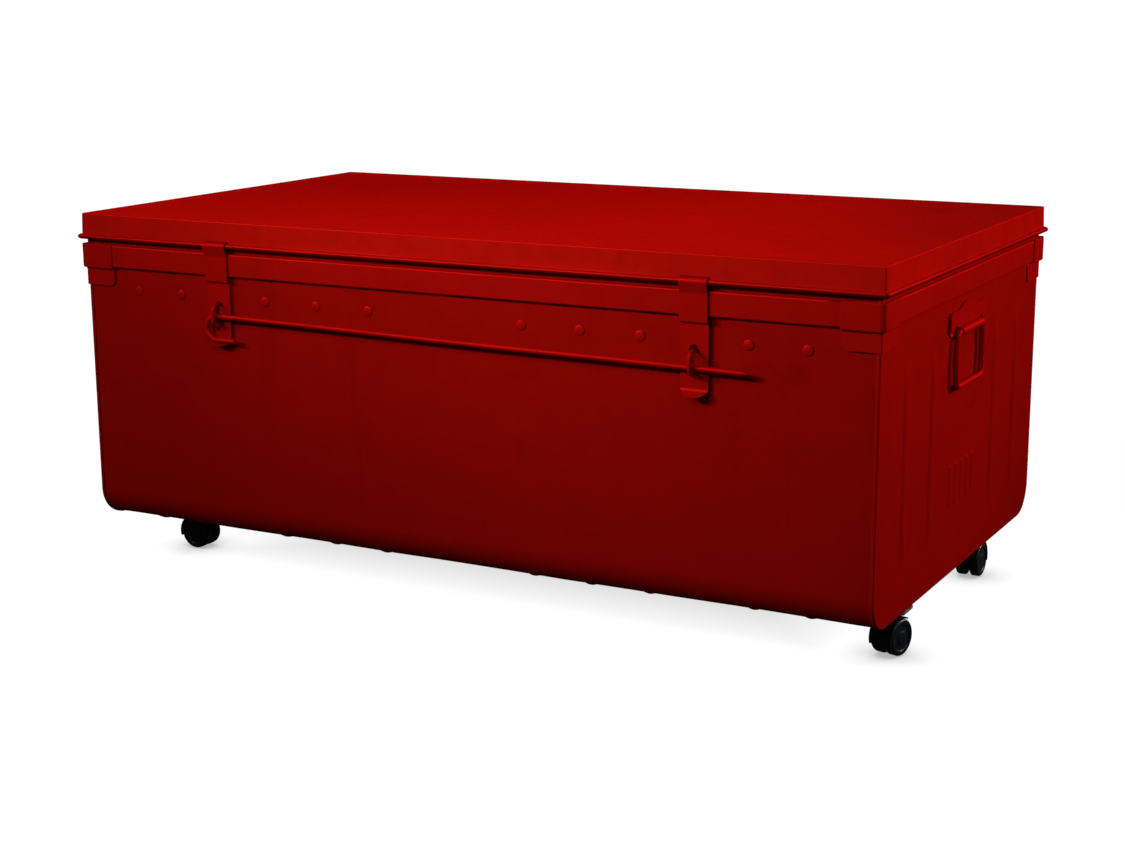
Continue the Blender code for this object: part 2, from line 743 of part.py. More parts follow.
def build_hinge_straps(mats):
    out = BAND_PROUD + HEM_HALF_Y + GAP + STRAP / 2 - BEAD_HALF_Y
    foot = BAND_BOTTOM + 0.002 - BEAD_Z
    line = hook_line() + [(HOOK_RADIUS - 0.0002, -0.0012), (out, -0.0075), (out, foot)]
    for name, x0 in HINGE_X.items():
        def place(x, u, z, x0=x0):
            return (x0 + x, BEAD_HALF_Y + u, BEAD_Z + z)
        bm = bmesh.new()
        add_strap(bm, line, STRAP, lambda run: HINGE_HALF_WIDTH, place)
        obj = object_from("hinge_strap_" + name, bm, mats["hardware"])
        heads = bmesh.new()
        face = BEAD_HALF_Y + out + STRAP / 2
        for step in (-HINGE_SCREW_STEP, HINGE_SCREW_STEP):
            centre = (x0 + step, face, (BAND_BOTTOM + BAND_TOP) / 2 - 0.004)
            add_dome(heads, centre, "Y", 0.0035, 0.0014, 0.0005)
        combine(obj, heads, "UNION")
        shade(obj)


def build_staple(side, sign, mats):
    """A D-shaped loop clinched to a small plate inside the front."""
    x = sign * HASP_X
    centre = STAPLE_Z[side]
    half = STAPLE_HEIGHT / 2
    inside = -BODY_HALF_Y + SHEET + GAP
    bend_y = -(BODY_HALF_Y + STAPLE_REACH - STAPLE_WIRE - STAPLE_BEND)
    path = [(x, inside + 0.0006, centre + half)]
    for y, z in arc(bend_y, centre + half - STAPLE_BEND, STAPLE_BEND, 90, 180, 4):
        path.append((x, y, z))
    for y, z in arc(bend_y, centre - half + STAPLE_BEND, STAPLE_BEND, 180, 270, 4):
        path.append((x, y, z))
    path.append((x, inside + 0.0006, centre - half))
    bm = bmesh.new()
    add_box(bm, (x - 0.006, inside, centre - half - 0.004), (x + 0.006, inside + 0.0012,
                                                               centre + half + 0.004))
    obj = object_from("staple_" + side, bm, mats["hardware"])
    loop = bmesh.new()
    add_tube(loop, path, STAPLE_WIRE)
    combine(obj, loop, "UNION")
    shade(obj)


def build_locking_rod(mats):
    """A straight rod with a tapered tip, whose left end is bent back into a J for the fingers."""
    run = (ROD_BEND - ROD_TIP).normalized()
    path = [ROD_TIP, ROD_TIP + run * 0.002, ROD_TIP + run * 0.009]
    radii = [0.0010, 0.0016, ROD_RADIUS]
    centre = ROD_BEND + Vector((0, 0, -ROD_HOOK_RADIUS))
    for a in range(90, 271, 15):
        turn = math.radians(a)
        path.append(centre + ROD_HOOK_RADIUS * Vector((math.cos(turn), 0, math.sin(turn))))
        radii.append(ROD_RADIUS)
    end_z = ROD_BEND.z - 2 * ROD_HOOK_RADIUS
    for x, r in ((ROD_HOOK_END_X - 0.0008, ROD_RADIUS), (ROD_HOOK_END_X, ROD_RADIUS * 0.7)):
        path.append(Vector((x, ROD_Y, end_z)))
        radii.append(r)
    bm = bmesh.new()
    add_tube(bm, path, ROD_RADIUS, radii=radii)
    object_from("locking_rod", bm, mats["hardware"], ROD_BEND, smooth=True)


# ---------------------------------------------------------------- carrying handles


def bracket_outline():
    """The bracket seen from the end: a plate whose top rises to a flat peak in the middle."""
    w = BRACKET_HALF_Y
    half = [(0.008, BRACKET_PEAK), (0.013, BRACKET_PEAK - 0.0010), (0.024, BRACKET_TOP + 0.0020),
            (0.032, BRACKET_TOP), (w - 0.003, BRACKET_TOP), (w, BRACKET_TOP - 0.003),
            (w, BAIL_Z + 0.0010), (w - 0.004, BAIL_Z - 0.003)]
    outline = half + [(-y, z) for y, z in reversed(half)]
    return [(HANDLE_Y + y, z) for y, z in outline]


def build_handle(side, sign, mats):
    pivot = Vector((sign * BAIL_X, HANDLE_Y, BAIL_Z))
    back = sign * (BODY_HALF_X + GAP)
    front = sign * (BODY_HALF_X + GAP + BRACKET_SHEET)
    bm = bmesh.new()
    add_prism(bm, bracket_outline(), "X", min(back, front), max(back, front))
    obj = object_from("handle_bracket_" + side, bm, mats["hardware"])
    roll = bmesh.new()
    add_cylinder(roll, pivot, "Y", KNUCKLE_OUTER, -KNUCKLE_HALF_Y, KNUCKLE_HALF_Y, 18)
    combine(obj, roll, "UNION")
    cuts = bmesh.new()
    past_ends = BRACKET_HALF_Y + 0.002
    add_cylinder(cuts, pivot, "Y", KNUCKLE_INNER, -past_ends, past_ends, 18)
    combine(obj, cuts, "DIFFERENCE")
    notches = bmesh.new()
    keep = sign * (BODY_HALF_X + GAP + NOTCH_WEB)
    far = sign * (BAIL_X + KNUCKLE_OUTER + 0.002)
    for low, high in ((-NOTCH_TO, -NOTCH_FROM), (NOTCH_FROM, NOTCH_TO)):
        add_box(notches, (min(keep, far), HANDLE_Y + low, BAIL_Z - 0.008),
                (max(keep, far), HANDLE_Y + high, BAIL_Z + 0.0062))
    combine(obj, notches, "DIFFERENCE")
    shade(obj)
    build_bail(side, sign, pivot, mats)


def build_bail(side, sign, pivot, mats):
    """A closed ring of round rod: its top bar lies in the bracket's roll."""
    r = BAIL_CORNER
    high, low = BAIL_Z - r, BAIL_Z - BAIL_DROP + r
    half = arc(BAIL_HALF_TOP - r, high, r, 90, 0, 4)
    for i in range(1, 5):
        t = i / 5
        y = BAIL_HALF_TOP + (BAIL_HALF_BOTTOM - BAIL_HALF_TOP) * t
        half.append((y + BAIL_BOW * math.sin(math.pi * t), high + (low - high) * t))
    half += arc(BAIL_HALF_BOTTOM - r, low, r, 0, -90, 4)
    ring = half + [(-y, z) for y, z in reversed(half)]
    bm = bmesh.new()
    add_tube(bm, [(pivot.x, HANDLE_Y + y, z) for y, z in ring], BAIL_RADIUS, closed=True)
    object_from("handle_bail_" + side, bm, mats["hardware"], pivot, smooth=True)


# ---------------------------------------------------------------- castors


def build_castor_plate(name, x, y, mats):
    """The zinc plate under the floor, with its screw heads and the cup that holds the stem."""
    bm = bmesh.new()
    hx, hy = PLATE_HALF_X, PLATE_HALF_Y
    under = PLATE_TOP - PLATE_THICK
    add_box(bm, (x - hx, y - hy, under), (x + hx, y + hy, PLATE_TOP))
    obj = object_from("castor_plate_" + name, bm, mats["zinc"])
    pad = bmesh.new()
    add_box(pad, (x - PAD_HALF_X, y - PAD_HALF_Y, under + PLATE_THICK / 2),
            (x + PAD_HALF_X, y + PAD_HALF_Y, BODY_BOTTOM - GAP))
    combine(obj, pad, "UNION")
    extra = bmesh.new()
    add_cylinder(extra, (x, y, 0), "Z", CUP_RADIUS, under - CUP_DROP, under + 0.0005, 20)
    for sx in (-1, 1):
        for sy in (-1, 1):
            centre = (x + sx * (hx - SCREW_INSET), y + sy * (hy - SCREW_INSET), under)
            add_dome(extra, centre, "Z", 0.0032, -0.0018, 0.0005, 10)
    combine(obj, extra, "UNION")
    hole = bmesh.new()
    add_cylinder(hole, (x, y, 0), "Z", STEM_RADIUS + GAP, under - CUP_DROP - 0.001, under)
    combine(obj, hole, "DIFFERENCE")
    shade(obj)


def add_fender(bm):
    """The hood's arched cover, over the top and front of both wheels."""
    centre = (TRAIL, WHEEL_RADIUS)
    outer = arc(*centre, FENDER_OUTER, 62, 196, 8)
    inner = arc(*centre, FENDER_INNER, 62, 196, 8)
    add_prism(bm, outer + list(reversed(inner)), "X", -FENDER_HALF_WIDTH, FENDER_HALF_WIDTH)


def local_object(name, bm, mat, parent, location):
    """An object in its castor's own frame, whose mesh is given about its own origin."""
    obj = object_from(name, bm, mat, smooth=True)
    obj.parent = parent
    obj.location = location
    return obj


def build_hood(name, parent, mats):
    top = PLATE_TOP - PLATE_THICK - CUP_DROP - GAP
    bm = bmesh.new()
    add_fender(bm)
    obj = object_from("castor_hood_" + name, bm, mats["plastic"])
    web = bmesh.new()
    outline = arc(TRAIL, WHEEL_RADIUS, 0.0150, -150, 60, 8)
    outline += [(TRAIL + 0.0060, WHEEL_RADIUS + 0.0214), (TRAIL - 0.0130, WHEEL_RADIUS + 0.0172)]
    outline += [(TRAIL - 0.0212, WHEEL_RADIUS + 0.0020), (TRAIL - 0.0185, WHEEL_RADIUS - 0.0040)]
    add_prism(web, outline, "X", -HOOD_WEB, HOOD_WEB)
    combine(obj, web, "UNION")
    boss = bmesh.new()
    add_cylinder(boss, (0, 0, 0), "Z", 0.0100, WHEEL_RADIUS + 0.0150, top)
    combine(obj, boss, "UNION")
    wheels = bmesh.new()
    for sign in (-1, 1):
        near, far = sign * (WHEEL_INNER - 0.0004), sign * (FENDER_HALF_WIDTH + 0.002)
        add_cylinder(wheels, (0, TRAIL, WHEEL_RADIUS), "X", FENDER_INNER,
                     min(near, far), max(near, far), 32)
    combine(obj, wheels, "DIFFERENCE")
    bore = bmesh.new()
    add_cylinder(bore, (0, 0, 0), "Z", STEM_RADIUS + GAP, top - 0.0060, top + 0.001)
    add_cylinder(bore, (0, TRAIL, WHEEL_RADIUS), "X", AXLE_RADIUS + GAP, -0.01, 0.01)
    combine(obj, bore, "DIFFERENCE")
    shade(obj)
    obj.parent = parent


def wheel_profile(sign):
    """Half a wheel's turned section, from its bore out over the tread to its domed face."""
    near = sign * WHEEL_INNER
    far = sign * (WHEEL_INNER + WHEEL_WIDTH)
    bore = AXLE_RADIUS + GAP
    e = WHEEL_EDGE
    profile = [(0, far - sign * 0.0030), (bore, far - sign * 0.0030), (bore, near)]
    profile += [(WHEEL_RADIUS - e / 2, near), (WHEEL_RADIUS, near + sign * e / 2)]
    profile += [(WHEEL_RADIUS, far - sign * (e + 0.001)), (WHEEL_RADIUS - e * 0.3, far - sign * e / 2)]
    profile += [(WHEEL_RADIUS - e, far - sign * 0.0004), (0.0135, far), (0.0125, far - sign * 0.0008)]
    profile += [(0.0060, far - sign * 0.0004), (0, far - sign * 0.0002)]
    return profile


def build_castor(name, x, y, angle, mats):
    build_castor_plate(name, x, y, mats)
    swivel = bpy.data.objects.new("castor_swivel_" + name, None)
    swivel.location = (x, y, 0)
    swivel.rotation_euler = (0, 0, angle)
    bpy.context.scene.collection.objects.link(swivel)
    build_hood(name, swivel, mats)
    top = PLATE_TOP - PLATE_THICK - GAP
    foot = PLATE_TOP - PLATE_THICK - CUP_DROP - GAP - 0.0060 + GAP
    stem = bmesh.new()
    add_cylinder(stem, (0, 0, 0), "Z", STEM_RADIUS, foot, top)
    local_object("castor_stem_" + name, stem, mats["zinc"], swivel, (0, 0, 0))
    axle = bmesh.new()
    reach = WHEEL_INNER + WHEEL_WIDTH - 0.0030 - GAP
    add_cylinder(axle, (0, 0, 0), "X", AXLE_RADIUS, -reach, reach)
    local_object("castor_axle_" + name, axle, mats["zinc"], swivel, (0, TRAIL, WHEEL_RADIUS))
    for side, sign in (("a", -1), ("b", 1)):
        wheel = bmesh.new()
        add_turned(wheel, wheel_profile(sign), (0, 0, 0), "X", 28)
        local_object("castor_wheel_" + name + "_" + side, wheel, mats["plastic"], swivel,
                     (0, TRAIL, WHEEL_RADIUS))


# ---------------------------------------------------------------- build


def main():
    clear_scene()
    mats = make_materials()
    build_wrap_sheet(mats)
    build_bands(mats)
    build_corner_plates(mats)
    build_front_rail(mats)
    build_lid_shell(mats)
    build_lid_wire(mats)
    build_hinge_straps(mats)
    build_locking_rod(mats)
    for side, sign in (("left", -1), ("right", 1)):
        build_end_panel(side, sign, mats)
        build_staple(side, sign, mats)
        build_hasp(side, sign, mats)
        build_handle(side, sign, mats)
    for name, (x, y, angle) in CASTORS.items():
        build_castor(name, x, y, angle, mats)


main()
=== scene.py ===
"""The looks of a red sheet-steel chest on castors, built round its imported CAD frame.

Everything is in metres in the CAD's frame: the chest stands on z = 0 with its long
side along X, and its front faces -Y.
"""
from math import acos, copysign, cos, degrees, hypot, pi, radians, sin, sqrt

import bmesh
import bpy
from mathutils import Matrix, Vector, noise


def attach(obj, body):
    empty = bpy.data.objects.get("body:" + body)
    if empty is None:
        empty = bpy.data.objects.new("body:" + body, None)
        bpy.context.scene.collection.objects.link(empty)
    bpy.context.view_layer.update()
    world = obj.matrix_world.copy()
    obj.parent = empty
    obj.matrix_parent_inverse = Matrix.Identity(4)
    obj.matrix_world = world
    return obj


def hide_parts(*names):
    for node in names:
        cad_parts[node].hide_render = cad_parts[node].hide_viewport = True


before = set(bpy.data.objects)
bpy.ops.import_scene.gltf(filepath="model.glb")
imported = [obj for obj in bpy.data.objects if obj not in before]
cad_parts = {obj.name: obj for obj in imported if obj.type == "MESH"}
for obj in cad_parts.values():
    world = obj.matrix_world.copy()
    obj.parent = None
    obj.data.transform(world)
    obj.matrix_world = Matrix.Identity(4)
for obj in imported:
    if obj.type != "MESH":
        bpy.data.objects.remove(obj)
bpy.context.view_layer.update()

# ---- dimensions of the CAD part

HEIGHT = 0.430
GAP = 0.0003
SHEET = 0.001
STRAP = 0.0014

# body: a bent sheet for front, floor and rear, closed by two flanged end panels
BODY_HALF_X = 0.4949
BODY_HALF_Y = 0.276
BODY_BOTTOM = 0.058
BODY_TOP = HEIGHT - 0.012
FLOOR_RADIUS = 0.036
HEM_DEPTH = 0.0044
HEM_HALF_Y = BODY_HALF_Y + GAP + SHEET

# pressed ribs across the floor, in line with the rivets along the front
STATION_X = (0.097, 0.167, 0.237, 0.357, 0.420)
FLOOR_RIB_WIDTH = 0.0095
FLOOR_RIB_HEIGHT = 0.0013

# raised band round the rim, and the plates over its corners
BAND_TOP = HEIGHT - 0.0364
BAND_BOTTOM = HEIGHT - 0.0625
BAND_PROUD = 0.0042
BAND_ROUND = 0.0018
BAND_SHEET = 0.0012
PLATE_SHEET = 0.0012
PLATE_FROM_X = 0.4545
PLATE_FROM_Y = 0.2400
GUSSET_FROM_Y = 0.2280
PLATE_BOTTOM = HEIGHT - 0.085
PLATE_CORNER = 0.008

# lid: a tapered pan whose lower edge is rolled round a wire
LID_HALF_X = 0.500
LID_HALF_Y = 0.281
LID_CORNER = 0.0025
LID_TAPER = 0.001
LID_EDGE = 0.0014
LID_RIM = 0.012
LID_SUNK = 0.0008
BEAD_RADIUS = 0.0029
BEAD_OUT = 0.0017
BEAD_Z = HEIGHT - 0.0275
BEAD_HALF_Y = LID_HALF_Y + BEAD_OUT
HOOK_RADIUS = BEAD_RADIUS + GAP + STRAP / 2

# hasps, staples and locking rod
HASP_X = 0.2995
HASP_HALF_WIDTH = 0.0155
HASP_PLATE_OUT = 0.0006
HASP_STRAP_OUT = -0.0036
HASP_STEP_Z = HEIGHT - 0.068
HASP_BEND = 0.006
HASP_BEND_Z = {"left": HEIGHT - 0.1347, "right": HEIGHT - 0.1365}
HASP_LIP_TURN = {"left": 82, "right": 55}
HASP_LIP_LENGTH = {"left": 0.0055, "right": 0.0080}
STAPLE_HEIGHT = 0.024
STAPLE_WIRE = 0.0023
STAPLE_REACH = 0.018
STAPLE_BEND = 0.007
STAPLE_Z = {"left": HEIGHT - 0.107, "right": HEIGHT - 0.110}
SLOT_TOP = HEIGHT - 0.0918
SLOT_BOTTOM = HEIGHT - 0.1268
SLOT_HALF_WIDTH = 0.006
ROD_RADIUS = 0.003
ROD_Y = -(BODY_HALF_Y + 0.0095)
ROD_TIP = Vector((0.362, ROD_Y, HEIGHT - 0.116))
ROD_BEND = Vector((-0.300, ROD_Y, HEIGHT - 0.108))
ROD_HOOK_RADIUS = 0.0138
ROD_HOOK_END_X = -0.2745

# rear hinge straps
HINGE_X = {"left": -0.360, "middle": 0.0, "right": 0.360}
HINGE_HALF_WIDTH = 0.020
HINGE_SCREW_STEP = 0.012

# rivets along the front and the bar inside that they hold
RIVET_Z = HEIGHT - 0.0885
RIVET_HEAD = 0.0058
RIVET_RISE = 0.0011
RIVET_SHANK = 0.0025
RAIL_HALF_X = 0.462
RAIL_HALF_Z = 0.012
RAIL_SHEET = 0.0015

# raised ribs and short flutes on each end
END_RIB_Y = (-0.195, -0.110, 0.110, 0.195)
END_RIB_HALF_WIDTH = 0.011
END_RIB_TOP = HEIGHT - 0.100
END_RIB_BOTTOM = HEIGHT - 0.325
END_RIB_HEIGHT = 0.0016
FLUTE_Y = (-0.043, -0.023, -0.003, 0.017, 0.037)
FLUTE_HALF_WIDTH = 0.004
FLUTE_TOP = HEIGHT - 0.247
FLUTE_BOTTOM = HEIGHT - 0.295
FLUTE_HEIGHT = 0.001

# carrying handles, a little forward of the middle of each end
HANDLE_Y = -0.006
BRACKET_HALF_Y = 0.060
BRACKET_TOP = HEIGHT - 0.078
BRACKET_PEAK = HEIGHT - 0.071
BRACKET_SHEET = 0.0030
KNUCKLE_HALF_Y = 0.040
NOTCH_FROM = 0.0365
NOTCH_TO = 0.0505
NOTCH_WEB = 0.0010
BAIL_RADIUS = 0.0034
KNUCKLE_INNER = BAIL_RADIUS + 0.0004
KNUCKLE_OUTER = KNUCKLE_INNER + 0.0012
BAIL_X = BODY_HALF_X + GAP + KNUCKLE_OUTER
BAIL_Z = HEIGHT - 0.1005
BAIL_DROP = 0.0595
BAIL_HALF_TOP = 0.0435
BAIL_HALF_BOTTOM = 0.0450
BAIL_BOW = 0.0025
BAIL_CORNER = 0.007

# castors
WHEEL_RADIUS = 0.020
WHEEL_WIDTH = 0.0104
WHEEL_INNER = 0.0034
HOOD_WEB = 0.0030
FENDER_INNER = WHEEL_RADIUS + 0.0006
FENDER_OUTER = WHEEL_RADIUS + 0.0024
FENDER_HALF_WIDTH = 0.0136
TRAIL = 0.014
AXLE_RADIUS = 0.0025
STEM_RADIUS = 0.004
PLATE_TOP = BODY_BOTTOM - SHEET - 2 * GAP
PLATE_THICK = 0.0035
CUP_DROP = 0.003
# name: swivel x, swivel y, angle of the trailing wheels about Z
CASTORS = {
    "front_left": (-0.448, -0.166, radians(-90)),
    "front_right": (0.469, -0.166, radians(-14)),
    "rear_left": (-0.448, 0.172, radians(-14)),
    "rear_right": (0.463, 0.174, radians(180)),
}

# ---- mesh helpers


def to_mesh(bm, name):
    mesh = bpy.data.meshes.new(name)
    bm.to_mesh(mesh)
    bm.free()
    return mesh


def add_object(name, data):
    obj = bpy.data.objects.new(name, data)
    bpy.context.scene.collection.objects.link(obj)
    return obj


def made(add, *args):
    """A new bmesh filled by one of the add functions below."""
    bm = bmesh.new()
    add(bm, *args)
    return bm


def add_loops(bm, loops, caps=True, close_path=False):
    """Skins a row of closed point loops, each with the same number of points."""
    rows = [[bm.verts.new(p) for p in loop] for loop in loops]
    count = len(rows[0])
    pairs = list(zip(rows, rows[1:]))
    if close_path:
        pairs.append((rows[-1], rows[0]))
    for a, b in pairs:
        for i in range(count):
            j = (i + 1) % count
            bm.faces.new((a[i], a[j], b[j], b[i]))
    if caps and not close_path:
        bm.faces.new(list(reversed(rows[0])))
        bm.faces.new(rows[-1])
    return rows


def add_grid(bm, grid):
    """Skins rows of vertices as an open sheet."""
    for a, b in zip(grid, grid[1:]):
        for i in range(len(a) - 1):
            bm.faces.new((a[i], b[i], b[i + 1], a[i + 1]))


def add_thin_cap(bm, row):
    """Closes the end of a thin bent section, whose inner and outer points pair up from its foot."""
    low, high = 0, len(row) - 1
    while high - low > 2:
        bm.faces.new((row[low], row[low + 1], row[high - 1], row[high]))
        low += 1
        high -= 1
    if high - low == 2:
        bm.faces.new((row[low], row[low + 1], row[high]))


def add_prism(bm, outline, axis, low, high):
    """Extrudes a closed 2-D outline along an axis. The outline's two values follow X, Y, Z order."""
    order = {"X": (2, 0, 1), "Y": (0, 2, 1), "Z": (0, 1, 2)}[axis]
    add_loops(bm, [[[(a, b, c)[i] for i in order] for a, b in outline] for c in (low, high)])


def add_box(bm, low, high):
    outline = [(low[0], low[1]), (high[0], low[1]), (high[0], high[1]), (low[0], high[1])]
    add_prism(bm, outline, "Z", low[2], high[2])


def arc(cx, cy, radius, start, end, steps):
    """Points on an arc, with angles in degrees."""
    points = []
    for i in range(steps + 1):
        a = radians(start + (end - start) * i / steps)
        points.append((cx + radius * cos(a), cy + radius * sin(a)))
    return points


def stadium(cx, low, high, half_width, steps=8):
    """An upright slot outline with round ends."""
    top = arc(cx, high - half_width, half_width, 0, 180, steps)
    bottom = arc(cx, low + half_width, half_width, 180, 360, steps)
    return top + bottom


def add_turned(bm, profile, centre, axis, steps=32):
    """Turns a (radius, height) profile about an axis through centre. It starts and ends on the axis."""
    centre = Vector(centre)
    units = [Vector(unit) for unit in ((1, 0, 0), (0, 1, 0), (0, 0, 1))]
    turn = "XYZ".index(axis)
    along, across, up = units[turn:] + units[:turn]
    first = bm.verts.new(centre + along * profile[0][1])
    last = bm.verts.new(centre + along * profile[-1][1])
    rings = []
    for radius, height in profile[1:-1]:
        ring = []
        for i in range(steps):
            a = 2 * pi * i / steps
            out = across * cos(a) + up * sin(a)
            ring.append(bm.verts.new(centre + out * radius + along * height))
        rings.append(ring)
    for i in range(steps):
        j = (i + 1) % steps
        bm.faces.new((first, rings[0][j], rings[0][i]))
        bm.faces.new((last, rings[-1][i], rings[-1][j]))
        for a, b in zip(rings, rings[1:]):
            bm.faces.new((a[i], a[j], b[j], b[i]))


def add_cylinder(bm, centre, axis, radius, low, high, steps=32):
    add_turned(bm, [(0, low), (radius, low), (radius, high), (0, high)], centre, axis, steps)


def add_dome(bm, centre, axis, radius, height, root, steps=24, rings=7):
    """A low round head standing on centre, whose foot reaches back by root."""
    sign = 1 if height > 0 else -1
    profile = [(0, -sign * root), (radius, -sign * root)]
    for i in range(rings):
        a = radians(90 * i / rings)
        profile.append((radius * cos(a), height * sin(a)))
    profile.append((0, height))
    add_turned(bm, profile, centre, axis, steps)


def add_tube(bm, path, radius, sides=20, closed=False, radii=None):
    """Sweeps a round section along a flat path of points."""
    points = [Vector(p) for p in path]
    count = len(points)
    normal = None
    for i in range(1, count - 1):
        turn = (points[i] - points[i - 1]).cross(points[i + 1] - points[i])
        if turn.length > 1e-12:
            normal = turn.normalized()
            break
    if normal is None:
        normal = Vector((0, 0, 1)).cross(points[1] - points[0]).normalized()
    loops = []
    for i in range(count):
        if closed:
            before, after = points[i - 1], points[(i + 1) % count]
        else:
            before, after = points[max(i - 1, 0)], points[min(i + 1, count - 1)]
        tangent = (after - before).normalized()
        side = tangent.cross(normal).normalized()
        r = radii[i] if radii else radius
        loop = []
        for k in range(sides):
            a = 2 * pi * k / sides
            loop.append(points[i] + (side * cos(a) + normal * sin(a)) * r)
        loops.append(loop)
    add_loops(bm, loops, close_path=closed)


def add_strap(bm, centreline, thickness, half_width_at, place):
    """Skins a bent strap. The centreline is (out, up) points; half_width_at takes the run so far."""
    count = len(centreline)
    run = 0.0
    loops = []
    for i, (u, z) in enumerate(centreline):
        if i:
            pu, pz = centreline[i - 1]
            run += hypot(u - pu, z - pz)
        bu, bz = centreline[max(i - 1, 0)]
        au, az = centreline[min(i + 1, count - 1)]
        length = hypot(au - bu, az - bz)
        nu, nz = -(az - bz) / length, (au - bu) / length
        w = half_width_at(run)
        h = thickness / 2
        loops.append([
            place(-w, u - nu * h, z - nz * h),
            place(w, u - nu * h, z - nz * h),
            place(w, u + nu * h, z + nz * h),
            place(-w, u + nu * h, z + nz * h),
        ])
    add_loops(bm, loops)


def strap_run(centreline):
    total = 0.0
    for (u0, z0), (u1, z1) in zip(centreline, centreline[1:]):
        total += hypot(u1 - u0, z1 - z0)
    return total


# ---- sections and outlines


def band_section(foot, crown, steps):
    """A C-shaped band in section, open towards the wall. Out runs from foot to crown."""
    r = BAND_ROUND
    t = BAND_SHEET
    low, high = BAND_BOTTOM, BAND_TOP
    outer = [(foot, low)] + arc(crown - r, low + r, r, 270, 360, steps)
    outer += arc(crown - r, high - r, r, 0, 90, steps) + [(foot, high)]
    s = r - t
    inner = [(foot, high - t)] + list(reversed(arc(crown - r, high - r, s, 0, 90, steps)))
    inner += list(reversed(arc(crown - r, low + r, s, 270, 360, steps))) + [(foot, low + t)]
    return outer + inner


def corner_path(offset, from_y):
    """Plan points round one corner, in the +X +Y quarter, from the long side to the short one."""
    r = offset
    x = BODY_HALF_X + offset
    y = HEM_HALF_Y + offset
    ends = (0.0, 0.0012, 0.0030, 0.0055, PLATE_CORNER)
    along = [(PLATE_FROM_X + d, y) for d in ends]
    bend = [(x - r + r * sin(radians(a)), y - r + r * cos(radians(a)))
            for a in range(0, 91, 9)]
    down = [(x, from_y + d) for d in reversed(ends)]
    return along + bend + down


def corner_rise():
    """How much the plate's lower edge is lifted at each point of the path, to round its corners."""
    ends = (0.0, 0.0012, 0.0030, 0.0055, PLATE_CORNER)
    lift = [PLATE_CORNER - sqrt(PLATE_CORNER ** 2 - (PLATE_CORNER - d) ** 2) for d in ends]
    return lift + [0.0] * 11 + list(reversed(lift))


def hook_line():
    """The rolled end of a strap, from its free end inside the lid over the bead to the outside."""
    return list(reversed(arc(0, 0, HOOK_RADIUS, 0, 212, 30)))


def hasp_line(side):
    """The hasp in section, as (out, up) from the bead's centre, from the roll to the lip."""
    bend_z = HASP_BEND_Z[side] - BEAD_Z
    step_z = HASP_STEP_Z - BEAD_Z
    line = hook_line()
    line += [(HOOK_RADIUS, -0.0015), (HASP_PLATE_OUT + 0.0006, -0.0100), (HASP_PLATE_OUT, -0.0130)]
    line += [(HASP_PLATE_OUT, step_z + 0.0004), (HASP_PLATE_OUT - 0.0003, step_z - 0.0002)]
    line += [(HASP_STRAP_OUT + 0.0004, step_z - 0.0020), (HASP_STRAP_OUT, step_z - 0.0030)]
    line += [(HASP_STRAP_OUT, bend_z + 0.010)]
    turn = arc(HASP_STRAP_OUT + HASP_BEND, bend_z, HASP_BEND, 180, 180 + HASP_LIP_TURN[side], 14)
    line += turn
    a = radians(HASP_LIP_TURN[side])
    steps = 10
    for i in range(1, steps + 1):
        d = HASP_LIP_LENGTH[side] * i / steps
        line.append((turn[-1][0] + d * sin(a), turn[-1][1] - d * cos(a)))
    return line


def bracket_outline():
    """The bracket seen from the end: a plate whose top rises to a flat peak in the middle."""
    w = BRACKET_HALF_Y
    half = [(0.008, BRACKET_PEAK), (0.013, BRACKET_PEAK - 0.0010), (0.024, BRACKET_TOP + 0.0020),
            (0.032, BRACKET_TOP), (w - 0.003, BRACKET_TOP), (w, BRACKET_TOP - 0.003),
            (w, BAIL_Z + 0.0010), (w - 0.004, BAIL_Z - 0.003)]
    outline = half + [(-y, z) for y, z in reversed(half)]
    return [(HANDLE_Y + y, z) for y, z in outline]


# ---- materials


def new_node(tree, kind, **settings):
    node = tree.nodes.new(kind)
    for key, value in settings.items():
        setattr(node, key, value)
    return node


def set_inputs(node, values):
    for name, value in values.items():
        node.inputs[name].default_value = value


def add_noise(tree, coord, scale, detail=3.0, rough=0.5, stretch=None):
    """A noise texture in object space, so that its scale is per metre."""
    node = new_node(tree, "ShaderNodeTexNoise")
    set_inputs(node, {"Scale": scale, "Detail": detail, "Roughness": rough})
    if stretch:
        mapping = new_node(tree, "ShaderNodeMapping")
        mapping.inputs["Scale"].default_value = stretch
        tree.links.new(coord, mapping.inputs["Vector"])
        coord = mapping.outputs["Vector"]
    tree.links.new(coord, node.inputs["Vector"])
    return node.outputs["Fac"]


def add_range(tree, value, low, high, to_low, to_high):
    node = new_node(tree, "ShaderNodeMapRange")
    set_inputs(node, {"From Min": low, "From Max": high, "To Min": to_low, "To Max": to_high})
    tree.links.new(value, node.inputs["Value"])
    return node.outputs["Result"]


def add_math(tree, operation, first, second):
    node = new_node(tree, "ShaderNodeMath", operation=operation)
    for socket, value in zip(node.inputs, (first, second)):
        if isinstance(value, (int, float)):
            socket.default_value = value
        else:
            tree.links.new(value, socket)
    return node.outputs["Value"]


def add_mix(tree, factor, first, second):
    node = new_node(tree, "ShaderNodeMix", data_type="RGBA")
    tree.links.new(factor, node.inputs["Factor"])
    for socket, value in ((node.inputs["A"], first), (node.inputs["B"], second)):
        if isinstance(value, tuple):
            socket.default_value = (*value, 1.0)
        else:
            tree.links.new(value, socket)
    return node.outputs["Result"]


